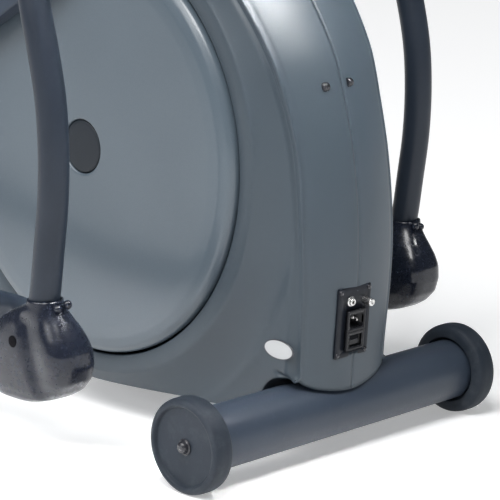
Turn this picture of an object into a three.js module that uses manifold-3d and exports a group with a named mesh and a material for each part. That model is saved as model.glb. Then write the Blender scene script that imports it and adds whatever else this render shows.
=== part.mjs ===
// Elliptical trainer with a front drive, in millimetres, +Z up.
// +X is forwards, the way the user faces, and +Y is the user's left. The floor is z = 0.
import * as THREE from "three";
import { mergeVertices } from "three/addons/utils/BufferGeometryUtils.js";
import Module from "manifold-3d";

const wasm = await Module();
wasm.setup();

// ---------------------------------------------------------------- driving dimensions
const GAP = 0.3; // clearance between pieces that meet
const FRAME_Z = 57.3; // height of both stabilizers' axes, and the transport wheels' radius
const FRONT_TUBE_R = 38.1; // a 3 inch tube
const FRONT_TUBE_HALF = 216;
const WHEEL_WIDTH = 31;
const REAR_X = -1560;
const REAR_TUBE_R = 35;
const REAR_TUBE_HALF = 240;
const BEAM = { half_width: 30, bottom: 30, top: 90 };
const MAST = { foot_x: -165, lean: -0.0417, depth: 60, width: 50, top: 1290 };
const CRANK = { x: -319.5, z: 349.4, r: 225, phase: 98.7 * (Math.PI / 180) };
const DISC = { r: 264.9, face: 119, edge: 105 };
const OPENING_R = 268.4; // hole in each casing half that a crank disc fills
const ARM = { length: 960, y: 140, width: 30, height: 40, boss_r: 26 };
const ROLLER = { r: 35, y: 175, width: 30, axle_r: 10 };
const RAIL = { top: 80, size: 40, front: -900 };
const PEDAL_SHARE = 0.35; // the pedal hinge's place along the roller arm, from the roller
const LINK = { y: 255, width: 30, height: 44, level: 250 };
const BOOT = { x: -180, z: 165, y: 313 };
const SWING_Z = 1000;
const SWING_TUBE_R = 18;
const CASING = { wall: 3, half: 80, foot_half: 83, crown: 0.00274, rim_r: 291 };
const PULLEY = { r: 150, y: 55, width: 14 };
const FLYWHEEL = { x: -100, z: 208, r: 104, pulley_r: 25, y: -52, width: 20 };
const IDLER = { x: -138, z: 334, r: 20 };
const PANEL = { y: -4, width: 56.4, height: 87.5, thick: 3, tilt: 0.0803, x: 39.7, z: 169.1 };

// The whole object is shifted along X so that its box is centred on the origin.
const FRONT_END = FRAME_Z;
const REAR_END = REAR_X - REAR_TUBE_R;
const SHIFT_X = -(FRONT_END + REAR_END) / 2;

// ---------------------------------------------------------------- finishes
const finish = (color, roughness, metalness) => new THREE.MeshStandardMaterial({ color, roughness, metalness });
const PAINT = finish(0x39404a, 0.42, 0.25);
const CASING_GREY = finish(0x66717d, 0.5, 0);
const DISC_GREY = finish(0x748392, 0.4, 0);
const GLOSS_BLACK = finish(0x14161b, 0.16, 0);
const MATT_BLACK = finish(0x1c1e22, 0.65, 0);
const RUBBER = finish(0x2b2f36, 0.75, 0);
const STEEL = finish(0xa8adb2, 0.35, 1);
const IRON = finish(0x4a4d52, 0.6, 0.9);
const SILVER = finish(0xd7dadd, 0.3, 0.6);
const SCREEN = finish(0x1f2a2c, 0.1, 0);
const BOARD = finish(0x2d5a3c, 0.6, 0);

// ---------------------------------------------------------------- solids
/** A closed three.js geometry as a manifold-3d solid. */
function solid(geometry) {
  const bare = geometry.index ? geometry.toNonIndexed() : geometry.clone();
  const only = new THREE.BufferGeometry().setAttribute("position", bare.getAttribute("position"));
  const merged = mergeVertices(only, 1e-4);
  return new wasm.Manifold(
    new wasm.Mesh({
      numProp: 3,
      vertProperties: merged.attributes.position.array,
      triVerts: new Uint32Array(merged.index.array),
    }),
  );
}

/** A manifold-3d solid back as a three.js geometry. */
function geometryOf(made) {
  const m = made.getMesh();
  const places = new Float32Array(m.numVert * 3);
  for (let i = 0; i < m.numVert; i++)
    places.set(m.vertProperties.subarray(i * m.numProp, i * m.numProp + 3), i * 3);
  return new THREE.BufferGeometry()
    .setAttribute("position", new THREE.BufferAttribute(places, 3))
    .setIndex(new THREE.BufferAttribute(new Uint32Array(m.triVerts), 1));
}

const join = (...pieces) => pieces.reduce((a, b) => a.add(b));
const cut = (base, ...tools) => tools.reduce((a, b) => a.subtract(b), base);

/** A box from its lowest to its highest corner. */
function block(low, high) {
  const [sx, sy, sz] = high.map((h, i) => h - low[i]);
  const [cx, cy, cz] = high.map((h, i) => (h + low[i]) / 2);
  return solid(new THREE.BoxGeometry(sx, sy, sz).translate(cx, cy, cz));
}

/** A box of the given size centred at a place in the XZ plane, pitched about Y. */
function pitchedBlock(x, z, y0, y1, length, height, pitch) {
  const box = new THREE.BoxGeometry(length, y1 - y0, height).rotateY(pitch);
  return solid(box.translate(x, (y0 + y1) / 2, z));
}

/** A cylinder along Y. */
function rod(x, z, y0, y1, r, sides = 24) {
  const [low, high] = [Math.min(y0, y1), Math.max(y0, y1)];
  return solid(new THREE.CylinderGeometry(r, r, high - low, sides).translate(x, (low + high) / 2, z));
}

/** A body turned about the Y axis through (x, z): its profile is a list of [radius, y] going round it. */
function turned(x, z, profile, sides = 32) {
  const points = profile.map(([r, y]) => new THREE.Vector2(r, y));
  const made = solid(new THREE.LatheGeometry(points, sides).translate(x, 0, z));
  return made.volume() > 0 ? made : solid(flipped(new THREE.LatheGeometry(points, sides).translate(x, 0, z)));
}

/** The same geometry with its faces turned round. */
function flipped(geometry) {
  const made = geometry.index ? geometry.toNonIndexed() : geometry;
  const p = made.attributes.position;
  const one = new THREE.Vector3();
  const two = new THREE.Vector3();
  for (let i = 0; i < p.count; i += 3) {
    one.fromBufferAttribute(p, i);
    two.fromBufferAttribute(p, i + 2);
    p.setXYZ(i, two.x, two.y, two.z);
    p.setXYZ(i + 2, one.x, one.y, one.z);
  }
  return made;
}

/** An outline in the XZ plane, carried along Y from y0 to y1 in a number of steps. */
function slab(shape, y0, y1, steps = 1, curveSegments = 12) {
  const made = new THREE.ExtrudeGeometry(shape, { depth: y1 - y0, steps, bevelEnabled: false, curveSegments });
  return made.rotateX(Math.PI / 2).translate(0, y1, 0);
}

/** A round or flat-sided tube along a smooth path of [x, y, z] points. */
function piped(points, section, steps) {
  const path = new THREE.CatmullRomCurve3(points.map((p) => new THREE.Vector3(...p)));
  return solid(new THREE.ExtrudeGeometry(section, { extrudePath: path, steps, curveSegments: 4 }));
}

function disk(r) {
  const shape = new THREE.Shape();
  shape.absarc(0, 0, r, 0, 2 * Math.PI, false);
  return shape;
}

const root = new THREE.Group();
root.position.x = SHIFT_X;

/** Adds a solid to a group as the mesh of a named piece. */
function piece(name, made, material, group = root) {
  const mesh = new THREE.Mesh(geometryOf(made), material);
  mesh.name = name;
  group.add(mesh);
}

const SIDES = [
  { name: "right", sign: -1 },
  { name: "left", sign: 1 },
];

/** A rod between two distances from the centre plane, on the side that sign names. */
const sideRod = (sign, x, z, near, far, r, sides) => rod(x, z, sign * near, sign * far, r, sides);

/** A box between two distances from the centre plane, on the side that sign names. */
function sideBlock(sign, [x0, near, z0], [x1, far, z1]) {
  const ends = [sign * near, sign * far].sort((a, b) => a - b);
  return block([x0, ends[0], z0], [x1, ends[1], z1]);
}

// ---------------------------------------------------------------- base frame
{
  const shell = 3;
  const boltHole = rod(0, FRAME_Z, -FRONT_TUBE_HALF - 1, FRONT_TUBE_HALF + 1, 6 + GAP, 16);
  const hollow = rod(0, FRAME_Z, 6 - FRONT_TUBE_HALF, FRONT_TUBE_HALF - 6, FRONT_TUBE_R - shell, 32);
  const tube = rod(0, FRAME_Z, -FRONT_TUBE_HALF, FRONT_TUBE_HALF, FRONT_TUBE_R, 40);
  piece("front_stabilizer", cut(tube, hollow, boltHole), PAINT);

  const rearTube = rod(REAR_X, FRAME_Z, -REAR_TUBE_HALF, REAR_TUBE_HALF, REAR_TUBE_R, 32);
  piece("rear_stabilizer", rearTube, PAINT);

  const beamFront = -FRONT_TUBE_R - GAP;
  const beamRear = REAR_X + REAR_TUBE_R + GAP;
  const crossFront = RAIL.front + 2 * 20;
  const beam = block([beamRear, -BEAM.half_width, BEAM.bottom], [beamFront, BEAM.half_width, BEAM.top]);
  const cross = block(
    [RAIL.front + GAP, -ROLLER.y - RAIL.size / 2, RAIL.top - RAIL.size],
    [crossFront, ROLLER.y + RAIL.size / 2, RAIL.top],
  );
  piece("main_beam", join(beam, cross), PAINT);

  for (const { name, sign } of SIDES) {
    const rail = sideBlock(
      sign,
      [beamRear, ROLLER.y - RAIL.size / 2, RAIL.top - RAIL.size],
      [RAIL.front, ROLLER.y + RAIL.size / 2, RAIL.top],
    );
    piece(`${name}_rail`, rail, STEEL);

    const footTop = FRAME_Z - REAR_TUBE_R - GAP;
    const foot = turned(REAR_X, 0, [[0, 0], [26, 0], [28, 4], [22, 14], [12, footTop], [0, footTop]], 20);
    piece(`${name}_rear_foot`, foot.rotate([90, 0, 0]).translate([0, sign * 205, 0]), RUBBER);

    const outer = FRONT_TUBE_HALF + GAP + WHEEL_WIDTH;
    const inner = FRONT_TUBE_HALF + GAP;
    const edge = 8;
    const profile = [
      [6 + GAP, sign * inner],
      [FRAME_Z - edge, sign * inner],
      [FRAME_Z, sign * (inner + edge)],
      [FRAME_Z, sign * (outer - edge)],
      [FRAME_Z - 2.4, sign * (outer - 2.4)],
      [FRAME_Z - edge, sign * outer],
      [FRAME_Z - edge - 4, sign * outer],
      [FRAME_Z - edge - 6, sign * (outer - 5)],
      [6 + GAP, sign * (outer - 5)],
      [6 + GAP, sign * inner],
    ];
    piece(`${name}_transport_wheel`, turned(0, FRAME_Z, profile, 28), RUBBER);

    const face = outer - 5 + GAP;
    const bolt = join(
      sideRod(sign, 0, FRAME_Z, inner - 18, face + 1, 6, 16),
      sideRod(sign, 0, FRAME_Z, face, face + 2, 13, 20),
      sideRod(sign, 0, FRAME_Z, face + 2, face + 8, 9, 6),
    );
    piece(`${name}_wheel_bolt`, bolt, STEEL);
  }
}

// ---------------------------------------------------------------- mast and crank support
const mastX = (z) => MAST.foot_x + MAST.lean * (z - BEAM.top);
const SWING_X = mastX(SWING_Z);
{
  const low = BEAM.top + GAP;
  const tube = new THREE.BoxGeometry(MAST.depth, MAST.width, MAST.top - low);
  const shear = new THREE.Matrix4().makeShear(0, 0, 0, 0, MAST.lean, 0);
  tube.applyMatrix4(shear).translate(mastX((MAST.top + low) / 2), 0, (MAST.top + low) / 2);
  const axleHole = rod(SWING_X, SWING_Z, -MAST.width, MAST.width, 12 + GAP);
  const stubNear = PULLEY.y - PULLEY.width / 2;
  const stubFar = PULLEY.y + PULLEY.width / 2;
  const idlerStub = join(
    block([mastX(IDLER.z) - 4, 20, IDLER.z - 12], [IDLER.x + 10, stubNear - 4, IDLER.z + 12]),
    rod(IDLER.x, IDLER.z, stubNear - 6, stubFar + 2, 6, 16),
    rod(IDLER.x, IDLER.z, stubFar + 1, stubFar + 4, 9, 16),
  );
  piece("mast", cut(join(solid(tube), idlerStub), axleHole), PAINT);
  piece("swing_axle", rod(SWING_X, SWING_Z, -204, 204, 12), STEEL);

  const shellR = 34;
  const shellHalf = 38;
  const post = block([CRANK.x - 25, -25, BEAM.top + GAP], [CRANK.x + 25, 25, CRANK.z]);
  const brace = block([CRANK.x, -20, CRANK.z - 20], [mastX(CRANK.z) - MAST.depth / 2 - 1, 20, CRANK.z + 20]);
  const shell = rod(CRANK.x, CRANK.z, -shellHalf, shellHalf, shellR, 32);
  const bore = rod(CRANK.x, CRANK.z, -shellHalf - 1, shellHalf + 1, 26, 32);
  piece("crank_support", cut(join(post, brace, shell), bore), PAINT);

  for (const { name, sign } of SIDES) {
    const ring = [[12 + GAP, 0], [26 - GAP, 0], [26 - GAP, 14], [12 + GAP, 14], [12 + GAP, 0]];
    const bearing = turned(CRANK.x, CRANK.z, ring.map(([r, y]) => [r, sign * (shellHalf - y)]), 24);
    piece(`${name}_crank_bearing`, bearing, STEEL);
  }
}

// ---------------------------------------------------------------- drive
/** The loop around circles given counterclockwise as [x, z, r], kept outside them by a margin. */
function beltLoop(circles, margin) {
  const loop = new THREE.Shape();
  circles.forEach(([x, z, r], i) => {
    const [px, pz, pr] = circles.at(i - 1);
    const [nx, nz, nr] = circles[(i + 1) % circles.length];
    const normal = (ax, az, ar, bx, bz, br) =>
      Math.atan2(bz - az, bx - ax) - Math.PI / 2 + Math.asin((br - ar) / Math.hypot(bx - ax, bz - az)) * -1;
    loop.absarc(x, z, r + margin, normal(px, pz, pr, x, z, r), normal(x, z, r, nx, nz, nr), false);
  });
  loop.closePath();
  return loop;
}
{
  const y0 = PULLEY.y - PULLEY.width / 2;
  const y1 = PULLEY.y + PULLEY.width / 2;
  const circles = [
    [FLYWHEEL.x, FLYWHEEL.z, FLYWHEEL.pulley_r],
    [IDLER.x, IDLER.z, IDLER.r],
    [CRANK.x, CRANK.z, PULLEY.r],
  ];
  const beltWall = 2.5;
  const beltGap = 1.2;
  const outer = solid(slab(beltLoop(circles, beltGap + beltWall), y0, y1));
  const inner = solid(slab(beltLoop(circles, beltGap), y0 - 1, y1 + 1));
  piece("drive_belt", cut(outer, inner), RUBBER);

  const pulley = turned(CRANK.x, CRANK.z, [[12, y0], [PULLEY.r, y0], [PULLEY.r, y1], [12, y1], [12, y0]], 36);
  const hub = cut(rod(CRANK.x, CRANK.z, 42, y0 + 1, 24), rod(CRANK.x, CRANK.z, 40, y1 + 1, 12));
  piece("drive_pulley", cut(join(pulley, hub), rod(CRANK.x, CRANK.z, 40, y1 + 1, 12 + GAP)), MATT_BLACK);

  const wheel = FLYWHEEL.y;
  const half = FLYWHEEL.width / 2;
  const flywheel = join(
    rod(FLYWHEEL.x, FLYWHEEL.z, wheel - half, wheel + half, FLYWHEEL.r, 36),
    rod(FLYWHEEL.x, FLYWHEEL.z, wheel - half - 8, y1, 9),
    rod(FLYWHEEL.x, FLYWHEEL.z, y0, y1, FLYWHEEL.pulley_r, 28),
  );
  piece("flywheel", flywheel, IRON);

  const carrier = (x, z, r, near, far, footX) =>
    cut(
      join(rod(x, z, near, far, r, 20), block([footX, near, z - 14], [x, far, z + 14])),
      rod(x, z, near - 1, far + 1, 9 + GAP),
    );
  const mastFront = mastX(FLYWHEEL.z) + MAST.depth / 2 + 1;
  const bracket = join(
    carrier(FLYWHEEL.x, FLYWHEEL.z, 22, -24, -8, mastFront),
    carrier(FLYWHEEL.x, FLYWHEEL.z, 22, 8, 24, mastFront),
    block([mastFront, -24, FLYWHEEL.z - 14], [mastFront + 8, 24, FLYWHEEL.z + 14]),
  );
  piece("flywheel_bracket", bracket, PAINT);

  const idlerRing = [[6 + GAP, y0], [IDLER.r, y0], [IDLER.r, y1], [6 + GAP, y1], [6 + GAP, y0]];
  piece("idler_pulley", turned(IDLER.x, IDLER.z, idlerRing, 24), STEEL);
  const low = FLYWHEEL.z - FLYWHEEL.r;
  const magnet = cut(
    block([FLYWHEEL.x - 30, wheel - half - 14, BEAM.top + 2], [FLYWHEEL.x + 30, wheel + half + 14, low + 34]),
    block([FLYWHEEL.x - 31, wheel - half - 3, low - 4], [FLYWHEEL.x + 31, wheel + half + 3, low + 40]),
    rod(FLYWHEEL.x, FLYWHEEL.z, wheel - half - 3, wheel + half + 3, FLYWHEEL.r + 3, 36),
  );
  piece("brake_magnet", magnet, MATT_BLACK);
}

// ---------------------------------------------------------------- crank
{
  piece("crank_axle", rod(CRANK.x, CRANK.z, -98, 98, 12), STEEL);
  for (const { name, sign } of SIDES) {
    const lean = sign < 0 ? CRANK.phase : CRANK.phase + Math.PI;
    const pinX = CRANK.x + CRANK.r * Math.cos(lean);
    const pinZ = CRANK.z + CRANK.r * Math.sin(lean);
    const near = 98 + GAP;
    const far = 112;
    const bar = new THREE.BoxGeometry(CRANK.r, far - near, 34).rotateY(-lean);
    bar.translate((CRANK.x + pinX) / 2, (sign * (near + far)) / 2, (CRANK.z + pinZ) / 2);
    const arm = join(
      solid(bar),
      sideRod(sign, CRANK.x, CRANK.z, near, far, 26),
      sideRod(sign, pinX, pinZ, near, far, 20),
      sideRod(sign, pinX, pinZ, far - 1, DISC.face + 4, 12),
    );
    piece(`${name}_crank_arm`, arm, STEEL);

    const back = DISC.face - 4;
    const profile = [
      [34, DISC.face],
      [244, DISC.face],
      [259, DISC.face - 5],
      [DISC.r, DISC.edge],
      [DISC.r, 98],
      [DISC.r - 4, 98],
      [DISC.r - 4, DISC.edge - 1],
      [246, back - 1],
      [34, back],
      [34, DISC.face],
    ];
    const cover = turned(CRANK.x, CRANK.z, profile.map(([r, y]) => [r, sign * y]), 44);
    const pinHole = sideRod(sign, pinX, pinZ, 100, 130, 12.6);
    piece(`${name}_crank_disc`, cut(cover, pinHole), DISC_GREY);

    const cap = sideRod(sign, CRANK.x, CRANK.z, back - 1, DISC.face - 0.6, 33, 32);
    piece(`${name}_disc_cap`, cap, MATT_BLACK);
  }
}

// ---------------------------------------------------------------- casing
const CASING_FRONT = [
  [26, 60], [33.7, 83], [43.2, 213], [44.5, 255], [42.1, 314], [30, 394], [10, 465], [-7, 502],
  [-30, 539], [-60, 577], [-98, 612], [-130, 640], [-146, 670], [-150, 696],
];
const NECK = { rear_x: -250, low: 585, high: 655, top: 700, half: 45 };
const CASING_REAR_R = 300;

/** The casing's side outline. A shrink of it is the outline of its hollow. */
function casingOutline(shrink, bottom) {
  const shape = new THREE.Shape();
  const raise = shrink ? 10 : 0;
  const frontBottom = CASING_FRONT[0][0] - shrink;
  shape.moveTo(frontBottom, bottom);
  for (const [x, z] of CASING_FRONT) shape.lineTo(x - shrink, z);
  shape.lineTo(CASING_FRONT.at(-1)[0] - shrink, NECK.top + raise);
  shape.lineTo(NECK.rear_x + shrink, NECK.top + raise);
  shape.lineTo(NECK.rear_x + shrink, CRANK.z + CASING_REAR_R - shrink + 8);
  const start = Math.PI / 2 + 0.1;
  const r = CASING_REAR_R - shrink;
  const end = 1.5 * Math.PI - 0.3;
  shape.absarc(CRANK.x, CRANK.z, r, start, end, false);
  shape.lineTo(CRANK.x + r * Math.cos(end) + 12, bottom);
  return shape;
}

/** The outline carried across the machine, its front face crowned like a parabola in plan. */
function casingCore(outline, half) {
  const made = slab(outline, -half, half, 4, 6);
  const p = made.attributes.position;
  for (let i = 0; i < p.count; i++) {
    const share = THREE.MathUtils.smoothstep(p.getX(i), -140, -40);
    p.setX(i, p.getX(i) - share * CASING.crown * p.getY(i) ** 2);
  }
  return solid(made);
}

/** The space the casing may fill: as wide as its body below, drawn in to the neck's half-width above. */
function neckLimit(inset) {
  const wide = CASING.half - inset;
  const slim = NECK.half - inset;
  const shape = new THREE.Shape();
  shape.moveTo(-wide, -50);
  shape.lineTo(wide, -50);
  shape.lineTo(wide, NECK.low);
  shape.lineTo(slim, NECK.high);
  shape.lineTo(slim, NECK.top + 20);
  shape.lineTo(-slim, NECK.top + 20);
  shape.lineTo(-slim, NECK.high);
  shape.lineTo(-wide, NECK.low);
  shape.closePath();
  return solid(slab(shape, -200, 700)).rotate([0, 0, 90]);
}
{
  const bottom = 45;
  const flank = (inset) => [
    [0, CASING.half - 30],
    [344, CASING.half - 30],
    [344, CASING.half - inset],
    [335, CASING.half - inset],
    [315, 88 - inset],
    [300, 98 - inset],
    [CASING.rim_r - inset, DISC.edge - inset],
    [0, DISC.edge - inset],
  ];
  const wall = CASING.wall;
  const drum = (sign, inset) =>
    turned(CRANK.x, CRANK.z, flank(inset).map(([r, y]) => [r, sign * y]), 40);
  const outerCore = casingCore(casingOutline(0, bottom), CASING.half).intersect(neckLimit(0));
  const innerCore = casingCore(casingOutline(wall, bottom - 30), CASING.half - wall).intersect(neckLimit(wall));
  const outerLimit = casingCore(casingOutline(0, bottom), DISC.edge + 5);
  const innerLimit = casingCore(casingOutline(wall, bottom - 30), DISC.edge + 5);
  const footZone = (half) =>
    cut(casingCore(casingOutline(0, bottom), half), block([-700, -200, 300], [100, 200, 800]),
      rod(CRANK.x, CRANK.z, -200, 200, 344, 40));
  const outer = join(
    outerCore,
    drum(-1, 0).intersect(outerLimit),
    drum(1, 0).intersect(outerLimit),
    footZone(CASING.foot_half),
  );
  const inner = join(innerCore, drum(-1, wall).intersect(innerLimit), drum(1, wall).intersect(innerLimit));
  const discHoles = rod(CRANK.x, CRANK.z, -150, 150, OPENING_R, 44);
  const tubeArch = join(
    rod(0, FRAME_Z, -58, 58, FRONT_TUBE_R + 4.9, 40),
    rod(0, FRAME_Z, -120, -57, 51, 40),
    rod(0, FRAME_Z, 57, 120, 51, 40),
  );
  const panelHole = solid(
    new THREE.BoxGeometry(40, PANEL.width + 1.6, PANEL.height + 1.6)
      .rotateY(PANEL.tilt)
      .translate(PANEL.x - 8, PANEL.y, PANEL.z),
  );
  const beamWay = block(
    [-700, -BEAM.half_width - 2, -10],
    [-FRONT_TUBE_R, BEAM.half_width + 2, BEAM.top + 3],
  );
  const hull = cut(outer, inner, discHoles, tubeArch, panelHole, beamWay);
  for (const { name, sign } of SIDES) {
    const half = sideBlock(sign, [-700, 0.15, -10], [100, 140, 800]);
    piece(`${name}_casing`, hull.intersect(half), CASING_GREY);
  }
  const badge = new THREE.CylinderGeometry(1, 1, 1.2, 32).scale(25, 1, 12);
  badge.translate(-5, -(CASING.foot_half + 0.6 + GAP), 141);
  piece("badge_plate", solid(badge), SILVER);
}

// ---------------------------------------------------------------- power panel
{
  const panel = new THREE.Group();
  panel.position.set(PANEL.x, PANEL.y, PANEL.z);
  panel.rotation.y = PANEL.tilt;
  root.add(panel);
  const module = { y: 2.5, z: -10, width: 31, height: 49.8, proud: 3.5 };
  const halfW = PANEL.width / 2;
  const halfH = PANEL.height / 2;
  const plate = cut(
    block([-PANEL.thick, -halfW, -halfH], [0, halfW, halfH]),
    block(
      [-20, module.y - module.width / 2 + 2, module.z - module.height / 2 + 2],
      [20, module.y + module.width / 2 - 2, module.z + module.height / 2 - 2],
    ),
    block([-20, 12, 19], [20, 22, 29]),
  );
  piece("power_panel", plate, MATT_BLACK, panel);

  const low = module.z - module.height / 2;
  const high = module.z + module.height / 2;
  const left = module.y - module.width / 2;
  const right = module.y + module.width / 2;
  const inlet = cut(
    join(
      block([GAP, left, low], [module.proud, right, high]),
      block([-24, left + 2 + GAP, low + 2 + GAP], [GAP + 1, right - 2 - GAP, high - 2 - GAP]),
    ),
    block([-14, module.y - 12, high - 22], [10, module.y + 12, high - 5]),
    block([-10, module.y - 10.5, low + 4], [10, module.y + 10.5, low + 19]),
  );
  const pins = [-7, 0, 7].map((y) =>
    block([-15, module.y + y - 1, high - 16 + (y ? 0 : 4)], [-2, module.y + y + 1, high - 12 + (y ? 0 : 4)]),
  );
  piece("power_inlet", join(inlet, ...pins), MATT_BLACK, panel);

  const rocker = new THREE.Group();
  rocker.position.set(-3, module.y, low + 11.5);
  rocker.rotation.y = -0.14; // switched off, with its upper half pressed in
  panel.add(rocker);
  piece(
    "power_switch",
    join(
      pitchedBlock(1.6, 2.9, -9.5, 9.5, 7, 6.2, -0.16),
      pitchedBlock(1.6, -2.9, -9.5, 9.5, 7, 6.2, 0.16),
    ),
    GLOSS_BLACK,
    rocker,
  );
  const socket = solid(new THREE.CylinderGeometry(4.6, 4.6, 20, 20).rotateZ(Math.PI / 2));
  piece("antenna_connector", socket.translate([4, 17, 24]), STEEL, panel);

  const board = block([-160, 60, 420], [-70, 63, 520]);
  piece("control_board", board, BOARD);
}

// ---------------------------------------------------------------- foot links, roller arms and rollers
for (const { name, sign } of SIDES) {
  const up = sign < 0;
  const lean = up ? CRANK.phase : CRANK.phase + Math.PI;
  const pinX = CRANK.x + CRANK.r * Math.cos(lean);
  const pinZ = CRANK.z + CRANK.r * Math.sin(lean);
  const axleZ = RAIL.top + ROLLER.r + GAP;
  const tilt = Math.asin((pinZ - axleZ) / ARM.length);
  const rollerX = pinX - ARM.length * Math.cos(tilt);

  const near = ARM.y - ARM.width / 2;
  const far = ARM.y + ARM.width / 2;
  const hingeAt = PEDAL_SHARE * ARM.length;

  const axle = join(
    sideRod(sign, rollerX, axleZ, near - 3, ROLLER.y + ROLLER.width / 2 + 6, ROLLER.axle_r, 20),
    sideRod(sign, rollerX, axleZ, near - 4, near - 1, 15, 20),
    sideRod(sign, rollerX, axleZ, ROLLER.y + ROLLER.width / 2 + 2, ROLLER.y + ROLLER.width / 2 + 6, 15, 20),
  );
  piece(`${name}_roller_axle`, axle, STEEL);

  const r0 = ROLLER.axle_r + GAP;
  const ring = [
    [r0, ROLLER.y - 15], [ROLLER.r - 2, ROLLER.y - 15], [ROLLER.r, ROLLER.y - 13],
    [ROLLER.r, ROLLER.y + 13], [ROLLER.r - 2, ROLLER.y + 15], [r0, ROLLER.y + 15], [r0, ROLLER.y - 15],
  ];
  piece(`${name}_roller`, turned(rollerX, axleZ, ring.map(([r, y]) => [r, sign * y]), 24), RUBBER);

  const armGroup = new THREE.Group();
  armGroup.position.set(rollerX, 0, axleZ);
  armGroup.rotation.y = -tilt;
  root.add(armGroup);
  const arm = cut(
    join(
      sideBlock(sign, [0, near, -ARM.height / 2], [ARM.length, far, ARM.height / 2]),
      sideRod(sign, 0, 0, near, far, ARM.boss_r, 28),
      sideRod(sign, ARM.length, 0, near, far, ARM.boss_r, 28),
      sideRod(sign, hingeAt, 0, near, far, ARM.boss_r, 28),
    ),
    sideRod(sign, 0, 0, near - 5, far + 5, r0),
    sideRod(sign, hingeAt, 0, near - 5, far + 5, 10 + GAP),
  );
  piece(`${name}_roller_arm`, arm, PAINT, armGroup);

  // The link's own frame has the pedal hinge at its origin. It is drawn as the right one lies at rest.
  const rightTilt = Math.asin((CRANK.z + CRANK.r * Math.sin(CRANK.phase) - axleZ) / ARM.length);
  const rightHingeX = CRANK.x + CRANK.r * Math.cos(CRANK.phase) - (1 - PEDAL_SHARE) * ARM.length * Math.cos(rightTilt);
  const rightHingeZ = axleZ + hingeAt * Math.sin(rightTilt);
  const eyeX = BOOT.x - rightHingeX;
  const eyeZ = BOOT.z - rightHingeZ;
  const hingeX = rollerX + hingeAt * Math.cos(tilt);
  const hingeZ = axleZ + hingeAt * Math.sin(tilt);
  const linkGroup = new THREE.Group();
  linkGroup.position.set(hingeX, 0, hingeZ);
  linkGroup.rotation.y = up ? 0 : Math.asin((hingeZ - BOOT.z) / Math.hypot(eyeX, eyeZ)) - Math.atan2(-eyeZ, eyeX);
  root.add(linkGroup);

  const linkNear = LINK.y - LINK.width / 2;
  const linkFar = LINK.y + LINK.width / 2;
  const bendX = eyeX - LINK.level;
  const slope = Math.atan2(eyeZ, bendX);
  const run = Math.hypot(bendX, eyeZ);
  const sloped = new THREE.BoxGeometry(run, LINK.width, LINK.height).rotateY(-slope);
  sloped.translate(bendX / 2, sign * LINK.y, eyeZ / 2);
  const half = LINK.height / 2;
  const pedalPitch = 0.107;
  const link = join(
    solid(sloped),
    sideBlock(sign, [bendX, linkNear, eyeZ - half], [eyeX, linkFar, eyeZ + half]),
    sideRod(sign, bendX, eyeZ, linkNear, linkFar, half, 20),
    sideRod(sign, eyeX, eyeZ, linkNear, linkFar, half, 28),
    sideRod(sign, 0, 0, linkNear, linkFar, half, 28),
    sideRod(sign, 0, 0, near - 3, linkNear + 1, 10, 20),
    sideRod(sign, 0, 0, far + 1, linkNear + 1, 17, 20),
    sideBlock(sign, [-45, linkNear, -10], [55, linkFar, 40]),
  );
  piece(`${name}_foot_link`, link, PAINT, linkGroup);

  const pedalGroup = new THREE.Group();
  pedalGroup.rotation.y = pedalPitch;
  linkGroup.add(pedalGroup);
  const [pNear, pFar] = [160, 290];
  const top = 62;
  const pedal = join(
    sideBlock(sign, [-190, pNear, 50], [150, pFar, top]),
    sideBlock(sign, [-190, pNear, 50], [150, pNear + 8, top + 22]),
    sideBlock(sign, [-60, pFar - 8, 50], [150, pFar, top + 22]),
    sideBlock(sign, [142, pNear, 50], [150, pFar, top + 34]),
  );
  piece(`${name}_pedal`, pedal, MATT_BLACK, pedalGroup);
}

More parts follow.
